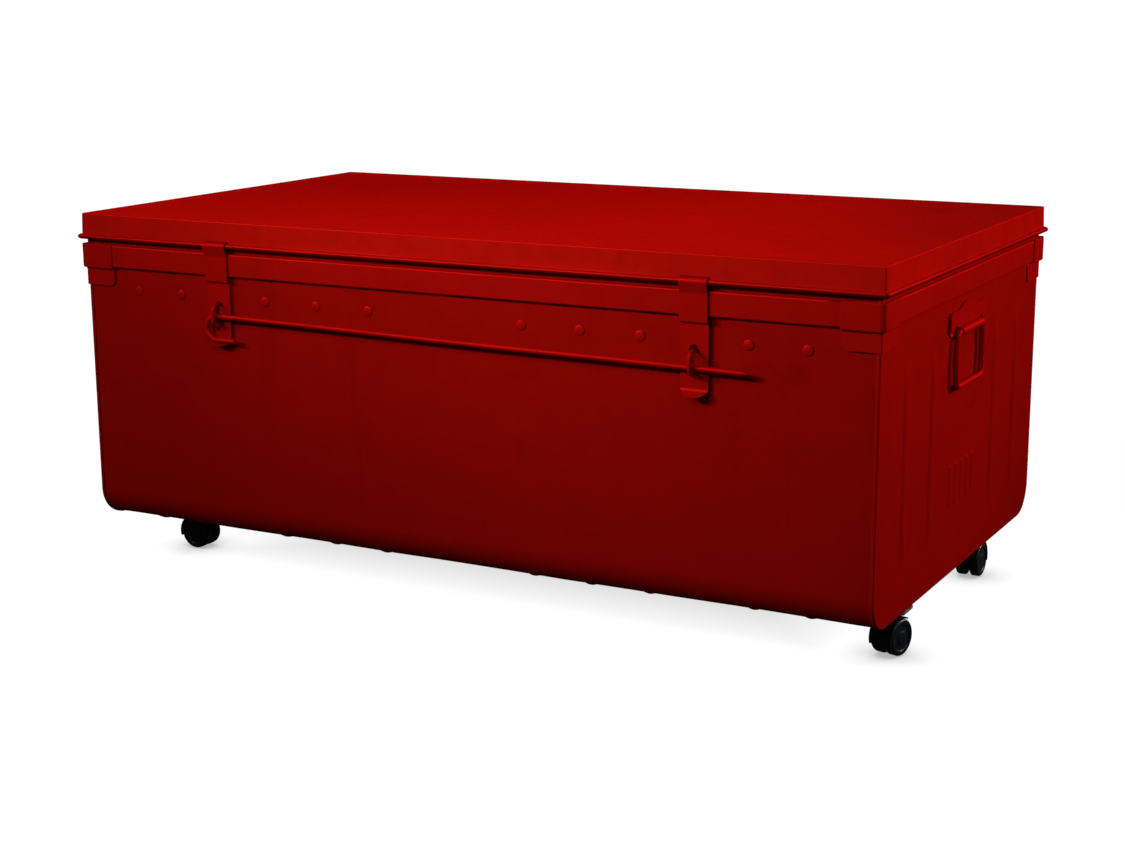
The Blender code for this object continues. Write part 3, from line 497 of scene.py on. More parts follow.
def add_bump(tree, height, distance, strength, normal=None):
    node = new_node(tree, "ShaderNodeBump")
    set_inputs(node, {"Distance": distance, "Strength": strength})
    tree.links.new(height, node.inputs["Height"])
    if normal:
        tree.links.new(normal, node.inputs["Normal"])
    return node.outputs["Normal"]


def start_material(name, metallic, specular):
    """A new node material, its shader and its object coordinates."""
    mat = bpy.data.materials.new(name)
    mat.use_nodes = True
    tree = mat.node_tree
    shader = tree.nodes["Principled BSDF"]
    set_inputs(shader, {"Metallic": metallic, "Specular IOR Level": specular})
    coord = new_node(tree, "ShaderNodeTexCoord").outputs["Object"]
    return mat, tree, shader, coord


def scaled(colour, factor):
    """A colour made darker or lighter by a factor."""
    return tuple(c * factor for c in colour)


def edge_mask(tree, radius):
    """1 on sharp outer edges and 0 on flat faces, from how far a rounded normal turns away."""
    bevel = new_node(tree, "ShaderNodeBevel", samples=4)
    bevel.inputs["Radius"].default_value = radius
    geometry = new_node(tree, "ShaderNodeNewGeometry")
    dot = new_node(tree, "ShaderNodeVectorMath", operation="DOT_PRODUCT")
    tree.links.new(bevel.outputs["Normal"], dot.inputs[0])
    tree.links.new(geometry.outputs["Normal"], dot.inputs[1])
    return add_range(tree, dot.outputs["Value"], 0.985, 0.86, 0.0, 1.0)


def make_paint(name, colour, roughness, worn_edges=True, painted_shade_below=None):
    """Brushed-on enamel over steel: uneven in tone and gloss, with rubs and chips on its edges, and
    painted shade below a given height.
    """
    mat, tree, shader, coord = start_material(name, 0.40, 0.0)
    shader.inputs["Specular Tint"].default_value = (1.0, 0.03, 0.02, 1.0)
    broad = add_noise(tree, coord, 3.5, 3.0, 0.55)
    tone = add_mix(tree, add_range(tree, broad, 0.3, 0.7, 0.0, 1.0),
                   scaled(colour, 0.93), scaled(colour, 1.05))
    mottle = add_noise(tree, coord, 38.0, 5.0, 0.62)
    tone = add_mix(tree, add_range(tree, mottle, 0.35, 0.75, 0.0, 0.45), tone, scaled(colour, 0.84))
    grime = add_noise(tree, coord, 9.0, 7.0, 0.7)
    grime = add_range(tree, grime, 0.60, 0.76, 0.0, 0.50)
    tone = add_mix(tree, grime, tone, scaled(colour, 0.55))
    streak = add_noise(tree, coord, 30.0, 4.0, 0.6, (1.0, 1.0, 0.06))
    streak = add_range(tree, streak, 0.62, 0.72, 0.0, 0.22)
    tone = add_mix(tree, streak, tone, scaled(colour, 0.70))
    if worn_edges:
        chips = add_noise(tree, coord, 150.0, 4.0, 0.65)
        chips = add_range(tree, chips, 0.50, 0.58, 0.0, 1.0)
        worn = add_math(tree, "MULTIPLY", edge_mask(tree, 0.0012), chips)
        worn = add_math(tree, "MULTIPLY", worn, 0.55)
        tone = add_mix(tree, worn, tone, (colour[0] * 0.42, colour[0] * 0.035, colour[0] * 0.022))
    # Painted shade: below the given height the colour is darkened towards a quarter of its tone,
    # standing in for the shade on the underside of the lid's rolled bead.
    if painted_shade_below is not None:
        height = new_node(tree, "ShaderNodeSeparateXYZ")
        tree.links.new(coord, height.inputs[0])
        painted_shade = add_range(tree, height.outputs[2], painted_shade_below - 0.001, painted_shade_below + 0.003, 0.8, 0.0)
        tone = add_mix(tree, painted_shade, tone, scaled(colour, 0.25))
    tree.links.new(tone, shader.inputs["Base Color"])
    gloss = add_range(tree, mottle, 0.3, 0.7, roughness - 0.06, roughness + 0.09)
    tree.links.new(gloss, shader.inputs["Roughness"])
    ripple = add_bump(tree, add_noise(tree, coord, 22.0, 2.0), 0.0012, 0.25)
    peel = add_bump(tree, add_noise(tree, coord, 420.0, 2.0), 0.0003, 0.16, ripple)
    tree.links.new(peel, shader.inputs["Normal"])
    return mat


def make_plastic(name, colour, roughness):
    """Moulded black plastic with a fine texture, dust and scuffs."""
    mat, tree, shader, coord = start_material(name, 0.0, 0.22)
    dust = add_range(tree, add_noise(tree, coord, 70.0, 5.0, 0.65), 0.5, 0.8, 0.0, 0.5)
    tone = add_mix(tree, dust, colour, (0.0090, 0.0100, 0.0130))
    tree.links.new(tone, shader.inputs["Base Color"])
    scuff = add_noise(tree, coord, 260.0, 4.0, 0.6)
    tree.links.new(add_range(tree, scuff, 0.3, 0.7, roughness - 0.07, roughness + 0.12),
                   shader.inputs["Roughness"])
    tree.links.new(add_bump(tree, scuff, 0.0002, 0.25), shader.inputs["Normal"])
    return mat


def make_zinc(name):
    """Zinc plating: pale, faintly spangled, with grey tarnish."""
    mat, tree, shader, coord = start_material(name, 1.0, 0.5)
    tarnish = add_range(tree, add_noise(tree, coord, 90.0, 6.0, 0.65), 0.4, 0.7, 0.0, 1.0)
    tree.links.new(add_mix(tree, tarnish, (0.66, 0.66, 0.64), (0.34, 0.34, 0.33)),
                   shader.inputs["Base Color"])
    grain = add_noise(tree, coord, 600.0, 3.0, 0.6)
    tree.links.new(add_range(tree, grain, 0.3, 0.7, 0.26, 0.48), shader.inputs["Roughness"])
    tree.links.new(add_bump(tree, grain, 0.0001, 0.3), shader.inputs["Normal"])
    return mat


MATS = {
    # The lid's paint carries painted shade on the lower half of its rolled bead.
    "lid_paint": make_paint("lid_red_enamel", (0.420, 0.0042, 0.0019), 0.42, painted_shade_below=BEAD_Z),
    "body_paint": make_paint("body_red_enamel", (0.325, 0.0029, 0.0013), 0.44, worn_edges=False),
    "trim_paint": make_paint("trim_red_enamel", (0.380, 0.0033, 0.0015), 0.42),
    "hardware_paint": make_paint("hardware_red_enamel", (0.36, 0.0026, 0.0012), 0.50),
    "black_plastic": make_plastic("castor_black_plastic", (0.0030, 0.0036, 0.0060), 0.36),
    "zinc_plate": make_zinc("zinc_plating"),
}

# ---- pieces


def piece(name, bm, body, look, nodes, bevel=0.0, segments=2, wall=0.0):
    """Makes a finished piece of a bmesh in the row frame, which stands for the CAD nodes named."""
    bmesh.ops.remove_doubles(bm, verts=bm.verts, dist=1e-6)
    bmesh.ops.recalc_face_normals(bm, faces=bm.faces)
    mesh = to_mesh(bm, name)
    mesh.shade_smooth()
    mesh.materials.append(MATS[look])
    obj = add_object(name, mesh)
    if wall:
        mod = obj.modifiers.new("sheet", "SOLIDIFY")
        mod.thickness = wall
        mod.offset = -1
    if bevel:
        mod = obj.modifiers.new("edges", "BEVEL")
        mod.width = bevel
        mod.segments = segments
        mod.limit_method = "ANGLE"
        mod.angle_limit = radians(34)
    mod = obj.modifiers.new("normals", "WEIGHTED_NORMAL")
    mod.weight = 60
    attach(obj, body)
    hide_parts(*nodes)


def cut(bm, tool_bm, operation="DIFFERENCE"):
    """The Boolean of two bmeshes, as a new bmesh."""
    objects = []
    for part in (bm, tool_bm):
        bmesh.ops.recalc_face_normals(part, faces=part.faces)
        objects.append(add_object("tool", to_mesh(part, "tool")))
    mod = objects[0].modifiers.new("cut", "BOOLEAN")
    mod.operation = operation
    mod.object = objects[1]
    bpy.context.view_layer.update()
    graph = bpy.context.evaluated_depsgraph_get()
    result = bmesh.new()
    mesh = bpy.data.meshes.new_from_object(objects[0].evaluated_get(graph))
    result.from_mesh(mesh)
    for obj in objects:
        bpy.data.objects.remove(obj, do_unlink=True)
    return result


def wobble(x, y, z, scale, size):
    """A smooth made-by-hand unevenness, the same on each run."""
    return size * noise.noise(Vector((x, y, z)) * scale)


def stations(low, high, step, marks=()):
    """Grid lines from low to high, with finer ones round each (centre, reach, step) mark."""
    count = max(int(round((high - low) / step)), 1)
    lines = [low + (high - low) * i / count for i in range(count + 1)]
    for centre, reach, fine in marks:
        lines = [v for v in lines if abs(v - centre) > reach or v in (low, high)]
        steps = int(round(2 * reach / fine))
        lines += [centre - reach + 2 * reach * i / steps for i in range(steps + 1)]
    return sorted(v for v in lines if low <= v <= high)


def swell(distance, half_width):
    """The rounded section of a pressed rib: 1 at its middle, 0 beyond its foot."""
    t = abs(distance) / half_width
    return 0.0 if t >= 1 else cos(t * pi / 2) ** 1.3


def blend_in(value, low, high):
    """A smooth step from 0 at low to 1 at high."""
    t = min(max((value - low) / (high - low), 0.0), 1.0)
    return t * t * (3 - 2 * t)


def slot_distance(y, z, cy, low, high, half_width):
    """How far a point is from the middle line of an upright slot shape."""
    near = min(max(z, low + half_width), high - half_width)
    return hypot(y - cy, z - near)


# ---- body

# how far the end ribs take to rise from their ends and from their sides
RIB_TOP_FADE = 0.040
RIB_BOTTOM_FADE = 0.030
RIB_FLANK = 0.0075


def build_wrap_sheet():
    """The front, floor and rear as one bent sheet, faintly dented, with ribs pressed in its floor."""
    half = BODY_HALF_X - SHEET - GAP
    marks = [(sign * x, 0.0075, 0.00125) for x in STATION_X for sign in (-1, 1)]
    xs = stations(-half, half, 0.020, marks)
    cy, cz = BODY_HALF_Y - FLOOR_RADIUS, BODY_BOTTOM + FLOOR_RADIUS
    rows = []
    for z in stations(cz, BODY_TOP, 0.014)[::-1]:
        rows.append((-BODY_HALF_Y, z, (-1, 0), 0.0))
    for i in range(1, 22):
        a = radians(180 + 90 * i / 21)
        rows.append((-cy + FLOOR_RADIUS * cos(a), cz + FLOOR_RADIUS * sin(a),
                     (cos(a), sin(a)), blend_in(degrees(a), 229, 238)))
    for y in stations(-cy, cy, 0.040)[1:-1]:
        rows.append((y, BODY_BOTTOM, (0, -1), 1.0))
    for i in range(22):
        a = radians(270 + 90 * i / 21)
        rows.append((cy + FLOOR_RADIUS * cos(a), cz + FLOOR_RADIUS * sin(a),
                     (cos(a), sin(a)), 1 - blend_in(degrees(a), 302, 311)))
    for z in stations(cz, BODY_TOP, 0.020)[1:]:
        rows.append((BODY_HALF_Y, z, (1, 0), 0.0))
    bm = bmesh.new()
    grid = []
    for y, z, (ny, nz), ribbed in rows:
        line = []
        for x in xs:
            rise = -abs(wobble(x, y, z, 5.0, 0.0009)) + wobble(x, y, z, 14.0, 0.00025)
            edge = blend_in(half - abs(x), 0.0, 0.03) * blend_in(BODY_TOP - z, 0.055, 0.10)
            rise *= edge
            if ribbed:
                near = min(abs(abs(x) - s) for s in STATION_X)
                rise += ribbed * FLOOR_RIB_HEIGHT * swell(near, FLOOR_RIB_WIDTH / 2 + 0.001)
            line.append(bm.verts.new((x, y + ny * rise, z + nz * rise)))
        grid.append(line)
    add_grid(bm, grid)
    piece("wrap_sheet", bm, "chest", "body_paint", ["body_wrap_sheet"], wall=SHEET)


def panel_half_width(z, half, low, radius):
    """The end panel's half width at this height, with its rounded lower corners."""
    rise = z - low
    if rise >= radius:
        return half
    return half - radius + sqrt(max(radius ** 2 - (radius - rise) ** 2, 0.0))


def build_end_panel(side, sign):
    """An end panel: a plate with raised ribs and flutes, whose edge turns in over the bent sheet."""
    fold = 0.0016
    half, low = HEM_HALF_Y - fold, BODY_BOTTOM - GAP - SHEET + fold
    radius = FLOOR_RADIUS + GAP + SHEET - fold
    marks = [(y, 0.0135, 0.0015) for y in END_RIB_Y] + [(y, 0.0055, 0.0011) for y in FLUTE_Y]
    ys = stations(-half, half, 0.016, marks)
    ends = [(END_RIB_TOP, 0.014, 0.002), (END_RIB_BOTTOM, 0.014, 0.002),
            (FLUTE_TOP, 0.006, 0.0012), (FLUTE_BOTTOM, 0.006, 0.0012)]
    zs = [low + radius * (1 - cos(radians(90 * i / 16))) for i in range(16)]
    zs += stations(low + radius, BODY_TOP, 0.016, ends)
    bm = bmesh.new()
    grid = []
    for z in zs:
        width = panel_half_width(z, half, low, radius)
        line = []
        for y0 in ys:
            y = y0 * width / half
            rise = 0.0
            for cy in END_RIB_Y:
                away = slot_distance(y, z, cy, END_RIB_BOTTOM, END_RIB_TOP, END_RIB_HALF_WIDTH)
                fade = (blend_in(END_RIB_TOP - z, 0.0, RIB_TOP_FADE)
                        * blend_in(z - END_RIB_BOTTOM, 0.0, RIB_BOTTOM_FADE))
                across = blend_in(END_RIB_HALF_WIDTH - away, 0.0, RIB_FLANK)
                rise = max(rise, END_RIB_HEIGHT * fade * across)
            for cy in FLUTE_Y:
                away = slot_distance(y, z, cy, FLUTE_BOTTOM, FLUTE_TOP, FLUTE_HALF_WIDTH)
                rise = max(rise, FLUTE_HEIGHT * swell(away, FLUTE_HALF_WIDTH))
            inner = blend_in(half - abs(y), 0.0, 0.03) * blend_in(BODY_TOP - z, 0.055, 0.10)
            rise += wobble(sign, y, z, 6.0, 0.0006) * inner
            line.append(bm.verts.new((sign * (BODY_HALF_X + rise), y, z)))
        grid.append(line)
    add_grid(bm, grid)
    rim = [(line[-1], v_normal(z, low, radius, 1)) for line, z in reversed(list(zip(grid, zs)))]
    rim += [(v, (0, -1)) for v in reversed(grid[0][1:-1])]
    rim += [(line[0], v_normal(z, low, radius, -1)) for line, z in zip(grid, zs)]
    profile = [(fold * sin(radians(a)), fold * (1 - cos(radians(a))))
               for a in (22, 45, 68, 90)] + [(fold, HEM_DEPTH)]
    before = [v for v, _ in rim]
    for out, depth in profile:
        ring = []
        for v, (ny, nz) in rim:
            ring.append(bm.verts.new((sign * (BODY_HALF_X - depth), v.co.y + ny * out,
                                      v.co.z + nz * out)))
        for i in range(len(ring) - 1):
            bm.faces.new((before[i], before[i + 1], ring[i + 1], ring[i]))
        before = ring
    piece("end_plate_" + side, bm, "chest", "body_paint", ["end_panel_" + side], wall=SHEET * 0.9)


def v_normal(z, low, radius, side):
    """The outline's outward direction in Y and Z at this height."""
    if z >= low + radius:
        return (side, 0.0)
    a = acos(min(max((low + radius - z) / radius, 0.0), 1.0))
    return (side * sin(a), -cos(a))


def build_bands():
    """The four lengths of band round the rim, each with a little waviness by hand."""
    long_half = BODY_HALF_X - HEM_DEPTH - 0.0006
    short_half = HEM_HALF_Y - GAP
    runs = [("front", "X", -1, long_half, BODY_HALF_Y + GAP, HEM_HALF_Y + BAND_PROUD),
            ("rear", "X", 1, long_half, BODY_HALF_Y + GAP, HEM_HALF_Y + BAND_PROUD),
            ("left", "Y", -1, short_half, BODY_HALF_X + GAP, BODY_HALF_X + BAND_PROUD),
            ("right", "Y", 1, short_half, BODY_HALF_X + GAP, BODY_HALF_X + BAND_PROUD)]
    for name, along, sign, half, foot, crown in runs:
        loops = []
        for run in stations(-half, half, 0.025):
            loop = []
            for u, z in band_section(foot, crown, 7):
                bend = wobble(run, sign, z, 9.0, 0.00035) * blend_in(u, foot, crown)
                out = sign * (u + bend)
                loop.append((run, out, z) if along == "X" else (out, run, z))
            loops.append(loop)
        piece("rim_strip_" + name, made(add_loops, loops), "chest", "trim_paint",
              ["rim_band_" + name])


def build_corner_plates():
    """Each plate hugs the band and then steps in to the wall below, where it is wider on the end."""
    under = BAND_BOTTOM - GAP
    t = PLATE_SHEET
    low, high = GAP, BAND_PROUD + GAP
    top = BAND_TOP + 0.0004
    section = [(low, None, 0.0), (low, under - 0.0016, 0.0), (low + 0.0006, under - 0.0008, 0.3),
               (high - 0.0006, under - 0.0001, 0.8), (high, under + 0.0010, 1.0), (high, top, 1.0),
               (high + t * 0.5, top + 0.0002, 1.0), (high + t, top - 0.0004, 1.0),
               (high + t, under + 0.0004, 1.0), (high + t - 0.0006, under - 0.0012, 0.8),
               (low + t + 0.0006, under - 0.0020, 0.3), (low + t, under - 0.0032, 0.0),
               (low + t, None, 0.0)]
    rise = corner_rise()
    for name, sx, sy in (("front_left", -1, -1), ("front_right", 1, -1),
                         ("rear_left", -1, 1), ("rear_right", 1, 1)):
        rows = []
        for offset, z, share in section:
            from_y = GUSSET_FROM_Y + (PLATE_FROM_Y - GUSSET_FROM_Y) * share
            row = []
            for (x, y), lift in zip(corner_path(offset, from_y), rise):
                row.append((sx * x, sy * y, PLATE_BOTTOM + lift if z is None else z))
            rows.append(row)
        bm = bmesh.new()
        ends = add_loops(bm, [list(loop) for loop in zip(*rows)], caps=False)
        add_thin_cap(bm, ends[0])
        add_thin_cap(bm, ends[-1])
        piece("corner_cover_" + name, bm, "chest", "trim_paint", ["corner_plate_" + name],
              bevel=0.00022)


def build_front_rail():
    """The bar inside the front and, in one piece with it, the rivets whose heads show outside."""
    inside = -BODY_HALF_Y + SHEET + GAP
    bm = bmesh.new()
    add_box(bm, (-RAIL_HALF_X, inside, RIVET_Z - 0.003),
            (RAIL_HALF_X, inside + RAIL_SHEET, RIVET_Z + RAIL_HALF_Z))
    seat = -BODY_HALF_Y - GAP
    for x in STATION_X:
        for sign in (-1, 1):
            profile = [(0, inside + 0.0005), (RIVET_SHANK, inside + 0.0005), (RIVET_SHANK, seat)]
            for i in range(9):
                a = radians(10 * i)
                lean = 0.0001 * noise.noise(Vector((sign * x * 40, 3, 1)))
                profile.append((RIVET_HEAD * cos(a), seat - (RIVET_RISE + lean) * sin(a)))
            profile.append((0, seat - RIVET_RISE))
            add_turned(bm, profile, (sign * x, 0, RIVET_Z), "Y", 28)
    piece("front_bar_and_rivets", bm, "chest", "hardware_paint", ["front_rail_with_rivets"],
          bevel=0.0002)


# ---- lid


def side_points(half_x, half_y, radius):
    """A rounded rectangle with points spread along its sides too."""
    corners = []
    for cx, cy, start in ((half_x, half_y, 0), (-half_x, half_y, 90),
                          (-half_x, -half_y, 180), (half_x, -half_y, 270)):
        sx, sy = copysign(1, cx), copysign(1, cy)
        corners.append(arc(cx - sx * radius, cy - sy * radius, radius, start, start + 90, 7))
    points = []
    for i, corner in enumerate(corners):
        points += corner
        (x0, y0), (x1, y1) = corner[-1], corners[(i + 1) % 4][0]
        count = (26, 15)[i % 2]
        for k in range(1, count):
            t = k / count
            points.append((x0 + (x1 - x0) * t, y0 + (y1 - y0) * t))
    return points


def lid_loop(out, z):
    """One closed ring of the lid, so far out from its edge, with its bow and dish."""
    radius = max(LID_CORNER + min(out, 0.003), 0.0015)
    points = []
    for x, y in side_points(LID_HALF_X + out, LID_HALF_Y + out, radius):
        inward = max(-out, 0.0)
        bow = wobble(x, y, 0.0, 6.0, 0.0004)
        dish = -0.0010 * blend_in(inward, 0.015, 0.16) + wobble(x, y, 2.0, 5.0, 0.0008)
        points.append((x, y + (bow if z > BEAD_Z + 0.003 else 0.0),
                       z + dish * blend_in(inward, 0.014, 0.06)))
    return points


def build_lid():
    """A pressed pan: a rim round a sunk panel, tapered sides, and an edge rolled round a wire."""
    top, taper, sunk = HEIGHT, LID_TAPER, HEIGHT - LID_SUNK
    loops = [lid_loop(-d, sunk) for d in (0.26, 0.22, 0.17, 0.12, 0.08, 0.05, 0.03, 0.0165)]
    loops += [lid_loop(-LID_RIM - 0.0030, sunk), lid_loop(-LID_RIM - 0.0022, sunk + 0.0002),
              lid_loop(-LID_RIM - 0.0014, top - 0.0002), lid_loop(-LID_RIM - 0.0006, top),
              lid_loop(-0.0060, top)]
    for out, z in reversed(arc(-taper - LID_EDGE, top - LID_EDGE, LID_EDGE, 0, 90, 7)):
        loops.append(lid_loop(out, z))
    loops.append(lid_loop(-0.0006, BEAD_Z + 0.0140))
    loops.append(lid_loop(-0.0002, BEAD_Z + 0.0040))
    loops.append(lid_loop(0.0, BEAD_Z + 0.0026))
    for out, z in arc(BEAD_OUT, BEAD_Z, BEAD_RADIUS, 126, -118, 22):
        loops.append(lid_loop(out, z))
    for out, z in arc(BEAD_OUT, BEAD_Z, BEAD_RADIUS - SHEET, -118, 126, 12):
        loops.append(lid_loop(out, z))
    loops.append(lid_loop(-SHEET - 0.0002, BEAD_Z + 0.0040))
    loops.append(lid_loop(-SHEET - taper, top - LID_EDGE))
    loops.append(lid_loop(-SHEET - taper - 0.0012, top - SHEET))
    loops.append(lid_loop(-LID_RIM - 0.0005, top - SHEET))
    loops += [lid_loop(-d, sunk - SHEET) for d in (0.0140, 0.03, 0.05, 0.08, 0.12, 0.17, 0.22, 0.26)]
    bm = made(add_loops, loops)
    slits = bmesh.new()
    places = [(sign * HASP_X, -1, HASP_HALF_WIDTH) for sign in (-1, 1)]
    places += [(x, 1, HINGE_HALF_WIDTH) for x in HINGE_X.values()]
    sector = arc(0, 0, BEAD_RADIUS + GAP / 2, 104, 190, 12)
    sector += list(reversed(arc(0, 0, HOOK_RADIUS + STRAP / 2 + 0.0006, 98, 190, 12)))
    for x, side, half_width in places:
        outline = [(side * (BEAD_HALF_Y + u), BEAD_Z + z) for u, z in sector]
        add_prism(slits, outline, "X", x - half_width - 0.0008, x + half_width + 0.0008)
    piece("lid_pan", cut(bm, slits), "lid", "lid_paint", ["lid_shell"])


# ---- hasps, staples and rod


def build_hasp(side, sign):
    """A slotted strap hung on the front wire, with its end bent out as a lip."""
    line = hasp_line(side)
    total = strap_run(line)
    w = HASP_HALF_WIDTH

    def half_width(run):
        left = total - run
        if left >= w:
            return w
        return max(sqrt(max(w * w - (w - left) ** 2, 0.0)), 0.002)

    pivot = Vector((sign * HASP_X, -BEAD_HALF_Y, BEAD_Z))

    def place(x, u, z):
        return (pivot.x + x, pivot.y - u, pivot.z + z)

    bm = made(add_strap, line, STRAP, half_width, place)
    outline = stadium(pivot.x, SLOT_BOTTOM, SLOT_TOP, SLOT_HALF_WIDTH, 12)
    slot = made(add_prism, outline, "Y", -BODY_HALF_Y - 0.006, -BODY_HALF_Y + 0.001)
    piece("hasp_strap_" + side, cut(bm, slot), "hasp_" + side, "hardware_paint", ["hasp_" + side],
          bevel=0.00028)


def build_hinge_straps():
    """The rear straps, each hung on the rear wire and screwed to the band."""
    out = BAND_PROUD + HEM_HALF_Y + GAP + STRAP / 2 - BEAD_HALF_Y
    foot = BAND_BOTTOM + 0.002 - BEAD_Z
    line = hook_line() + [(HOOK_RADIUS - 0.0002, -0.0012), (HOOK_RADIUS - 0.0010, -0.0040),
                          (out, -0.0075), (out, foot)]
    for name, x0 in HINGE_X.items():
        def place(x, u, z, x0=x0):
            return (x0 + x, BEAD_HALF_Y + u, BEAD_Z + z)
        bm = made(add_strap, line, STRAP, lambda run: HINGE_HALF_WIDTH, place)
        face = BEAD_HALF_Y + out + STRAP / 2
        for step in (-HINGE_SCREW_STEP, HINGE_SCREW_STEP):
            centre = (x0 + step, face, (BAND_BOTTOM + BAND_TOP) / 2 - 0.004)
            add_dome(bm, centre, "Y", 0.0035, 0.0014, 0.0005)
        piece("rear_hinge_" + name, bm, "chest", "hardware_paint", ["hinge_strap_" + name],
              bevel=0.00025)


def build_staple(side, sign):
    """A bent wire loop through the front, clinched to a small plate inside."""
    x = sign * HASP_X
    centre = STAPLE_Z[side]
    half = STAPLE_HEIGHT / 2
    inside = -BODY_HALF_Y + SHEET + GAP
    bend_y = -(BODY_HALF_Y + STAPLE_REACH - STAPLE_WIRE - STAPLE_BEND)
    path = [(x, inside + 0.0006, centre + half)]
    bends = arc(bend_y, centre + half - STAPLE_BEND, STAPLE_BEND, 90, 180, 10)
    bends += arc(bend_y, centre - half + STAPLE_BEND, STAPLE_BEND, 180, 270, 10)
    path += [(x, y, z) for y, z in bends]
    path.append((x, inside + 0.0006, centre - half))
    bm = bmesh.new()
    add_box(bm, (x - 0.006, inside, centre - half - 0.004),
            (x + 0.006, inside + 0.0012, centre + half + 0.004))
    add_tube(bm, path, STAPLE_WIRE, 20)
    piece("staple_loop_" + side, bm, "chest", "hardware_paint", ["staple_" + side])


def build_locking_rod():
    """A pointed rod with a J end, very slightly bowed along its run."""
    run = (ROD_BEND - ROD_TIP).normalized()
    length = (ROD_BEND - ROD_TIP).length
    path = [ROD_TIP + run * d for d in (0.0, 0.0006, 0.0018, 0.0050, 0.0095)]
    radii = [0.0004, 0.0010, 0.0014, 0.0022, ROD_RADIUS]
    for i in range(1, 30):
        d = 0.0095 + (length - 0.0095) * i / 30
        sag = 0.0003 * sin(d * 14)
        path.append(ROD_TIP + run * d + Vector((0, 0, sag)))
        radii.append(ROD_RADIUS)
    centre = ROD_BEND + Vector((0, 0, -ROD_HOOK_RADIUS))
    for a in range(90, 271, 8):
        turn = radians(a)
        path.append(centre + ROD_HOOK_RADIUS * Vector((cos(turn), 0, sin(turn))))
        radii.append(ROD_RADIUS)
    end_z = ROD_BEND.z - 2 * ROD_HOOK_RADIUS
    for x, r in ((-0.287, 1.0), (-0.2757, 1.0), (-0.2749, 0.9), (ROD_HOOK_END_X, 0.6)):
        path.append(Vector((x, ROD_Y, end_z)))
        radii.append(ROD_RADIUS * r)
    bm = made(add_tube, path, ROD_RADIUS, 24, False, radii)
    piece("lock_rod", bm, "locking_rod", "hardware_paint", ["locking_rod"])


# ---- handles


def build_handle(side, sign):
    """A bracket with a rolled knuckle, and the bail that turns in it."""
    pivot = Vector((sign * BAIL_X, HANDLE_Y, BAIL_Z))
    back = sign * (BODY_HALF_X + GAP)
    front = sign * (BODY_HALF_X + GAP + BRACKET_SHEET)
    plate = made(add_prism, bracket_outline(), "X", min(back, front), max(back, front))
    roll = made(add_cylinder, pivot, "Y", KNUCKLE_OUTER, -KNUCKLE_HALF_Y, KNUCKLE_HALF_Y, 40)
    past_ends = BRACKET_HALF_Y + 0.002
    bore = made(add_cylinder, pivot, "Y", KNUCKLE_INNER, -past_ends, past_ends, 40)
    notches = bmesh.new()
    keep = sign * (BODY_HALF_X + GAP + NOTCH_WEB)
    far = sign * (BAIL_X + KNUCKLE_OUTER + 0.002)
    for low, high in ((-NOTCH_TO, -NOTCH_FROM), (NOTCH_FROM, NOTCH_TO)):
        add_box(notches, (min(keep, far), HANDLE_Y + low, BAIL_Z - 0.008),
                (max(keep, far), HANDLE_Y + high, BAIL_Z + 0.0062))
    bm = cut(cut(cut(plate, roll, "UNION"), bore), notches)
    piece("handle_plate_" + side, bm, "chest", "hardware_paint", ["handle_bracket_" + side],
          bevel=0.0004)
    r = BAIL_CORNER
    high, low = BAIL_Z - r, BAIL_Z - BAIL_DROP + r
    half = arc(BAIL_HALF_TOP - r, high, r, 90, 0, 10)
    for i in range(1, 16):
        t = i / 16
        y = BAIL_HALF_TOP + (BAIL_HALF_BOTTOM - BAIL_HALF_TOP) * t
        half.append((y + BAIL_BOW * sin(pi * t), high + (low - high) * t))
    half += arc(BAIL_HALF_BOTTOM - r, low, r, 0, -90, 10)
    ring = half + [(-y, z) for y, z in reversed(half)]
    path = [(pivot.x, HANDLE_Y + y, z) for y, z in ring]
    bail = made(add_tube, path, BAIL_RADIUS, 24, True)
    piece("handle_grip_" + side, bail, "handle_bail_" + side, "hardware_paint",
          ["handle_bail_" + side])


# ---- castors


def hood_shape():
    """The castor's hood: fender, middle web and boss, bored for its stem and axle."""
    top = PLATE_TOP - PLATE_THICK - CUP_DROP - GAP
    outline = arc(TRAIL, WHEEL_RADIUS, FENDER_OUTER, 62, 196, 30)
    outline += arc(TRAIL, WHEEL_RADIUS, FENDER_INNER, 62, 196, 30)[::-1]
    fender = made(add_prism, outline, "X", -FENDER_HALF_WIDTH, FENDER_HALF_WIDTH)
    outline = arc(TRAIL, WHEEL_RADIUS, 0.0150, -150, 60, 26)
    outline += [(TRAIL + 0.0060, WHEEL_RADIUS + 0.0214), (TRAIL - 0.0130, WHEEL_RADIUS + 0.0172)]
    outline += [(TRAIL - 0.0212, WHEEL_RADIUS + 0.0020), (TRAIL - 0.0185, WHEEL_RADIUS - 0.0040)]
    web = made(add_prism, outline, "X", -HOOD_WEB, HOOD_WEB)
    boss = made(add_cylinder, (0, 0, 0), "Z", 0.0100, WHEEL_RADIUS + 0.0150, top, 40)
    wheels = bmesh.new()
    for sign in (-1, 1):
        near, far = sign * (WHEEL_INNER - 0.0004), sign * (FENDER_HALF_WIDTH + 0.002)
        add_cylinder(wheels, (0, TRAIL, WHEEL_RADIUS), "X", FENDER_INNER,
                     min(near, far), max(near, far), 80)
    bore = bmesh.new()
    add_cylinder(bore, (0, 0, 0), "Z", STEM_RADIUS + GAP, top - 0.0060, top + 0.001, 32)
    add_cylinder(bore, (0, TRAIL, WHEEL_RADIUS), "X", AXLE_RADIUS + GAP, -0.01, 0.01, 32)
    return cut(cut(cut(cut(fender, web, "UNION"), boss, "UNION"), wheels), bore)


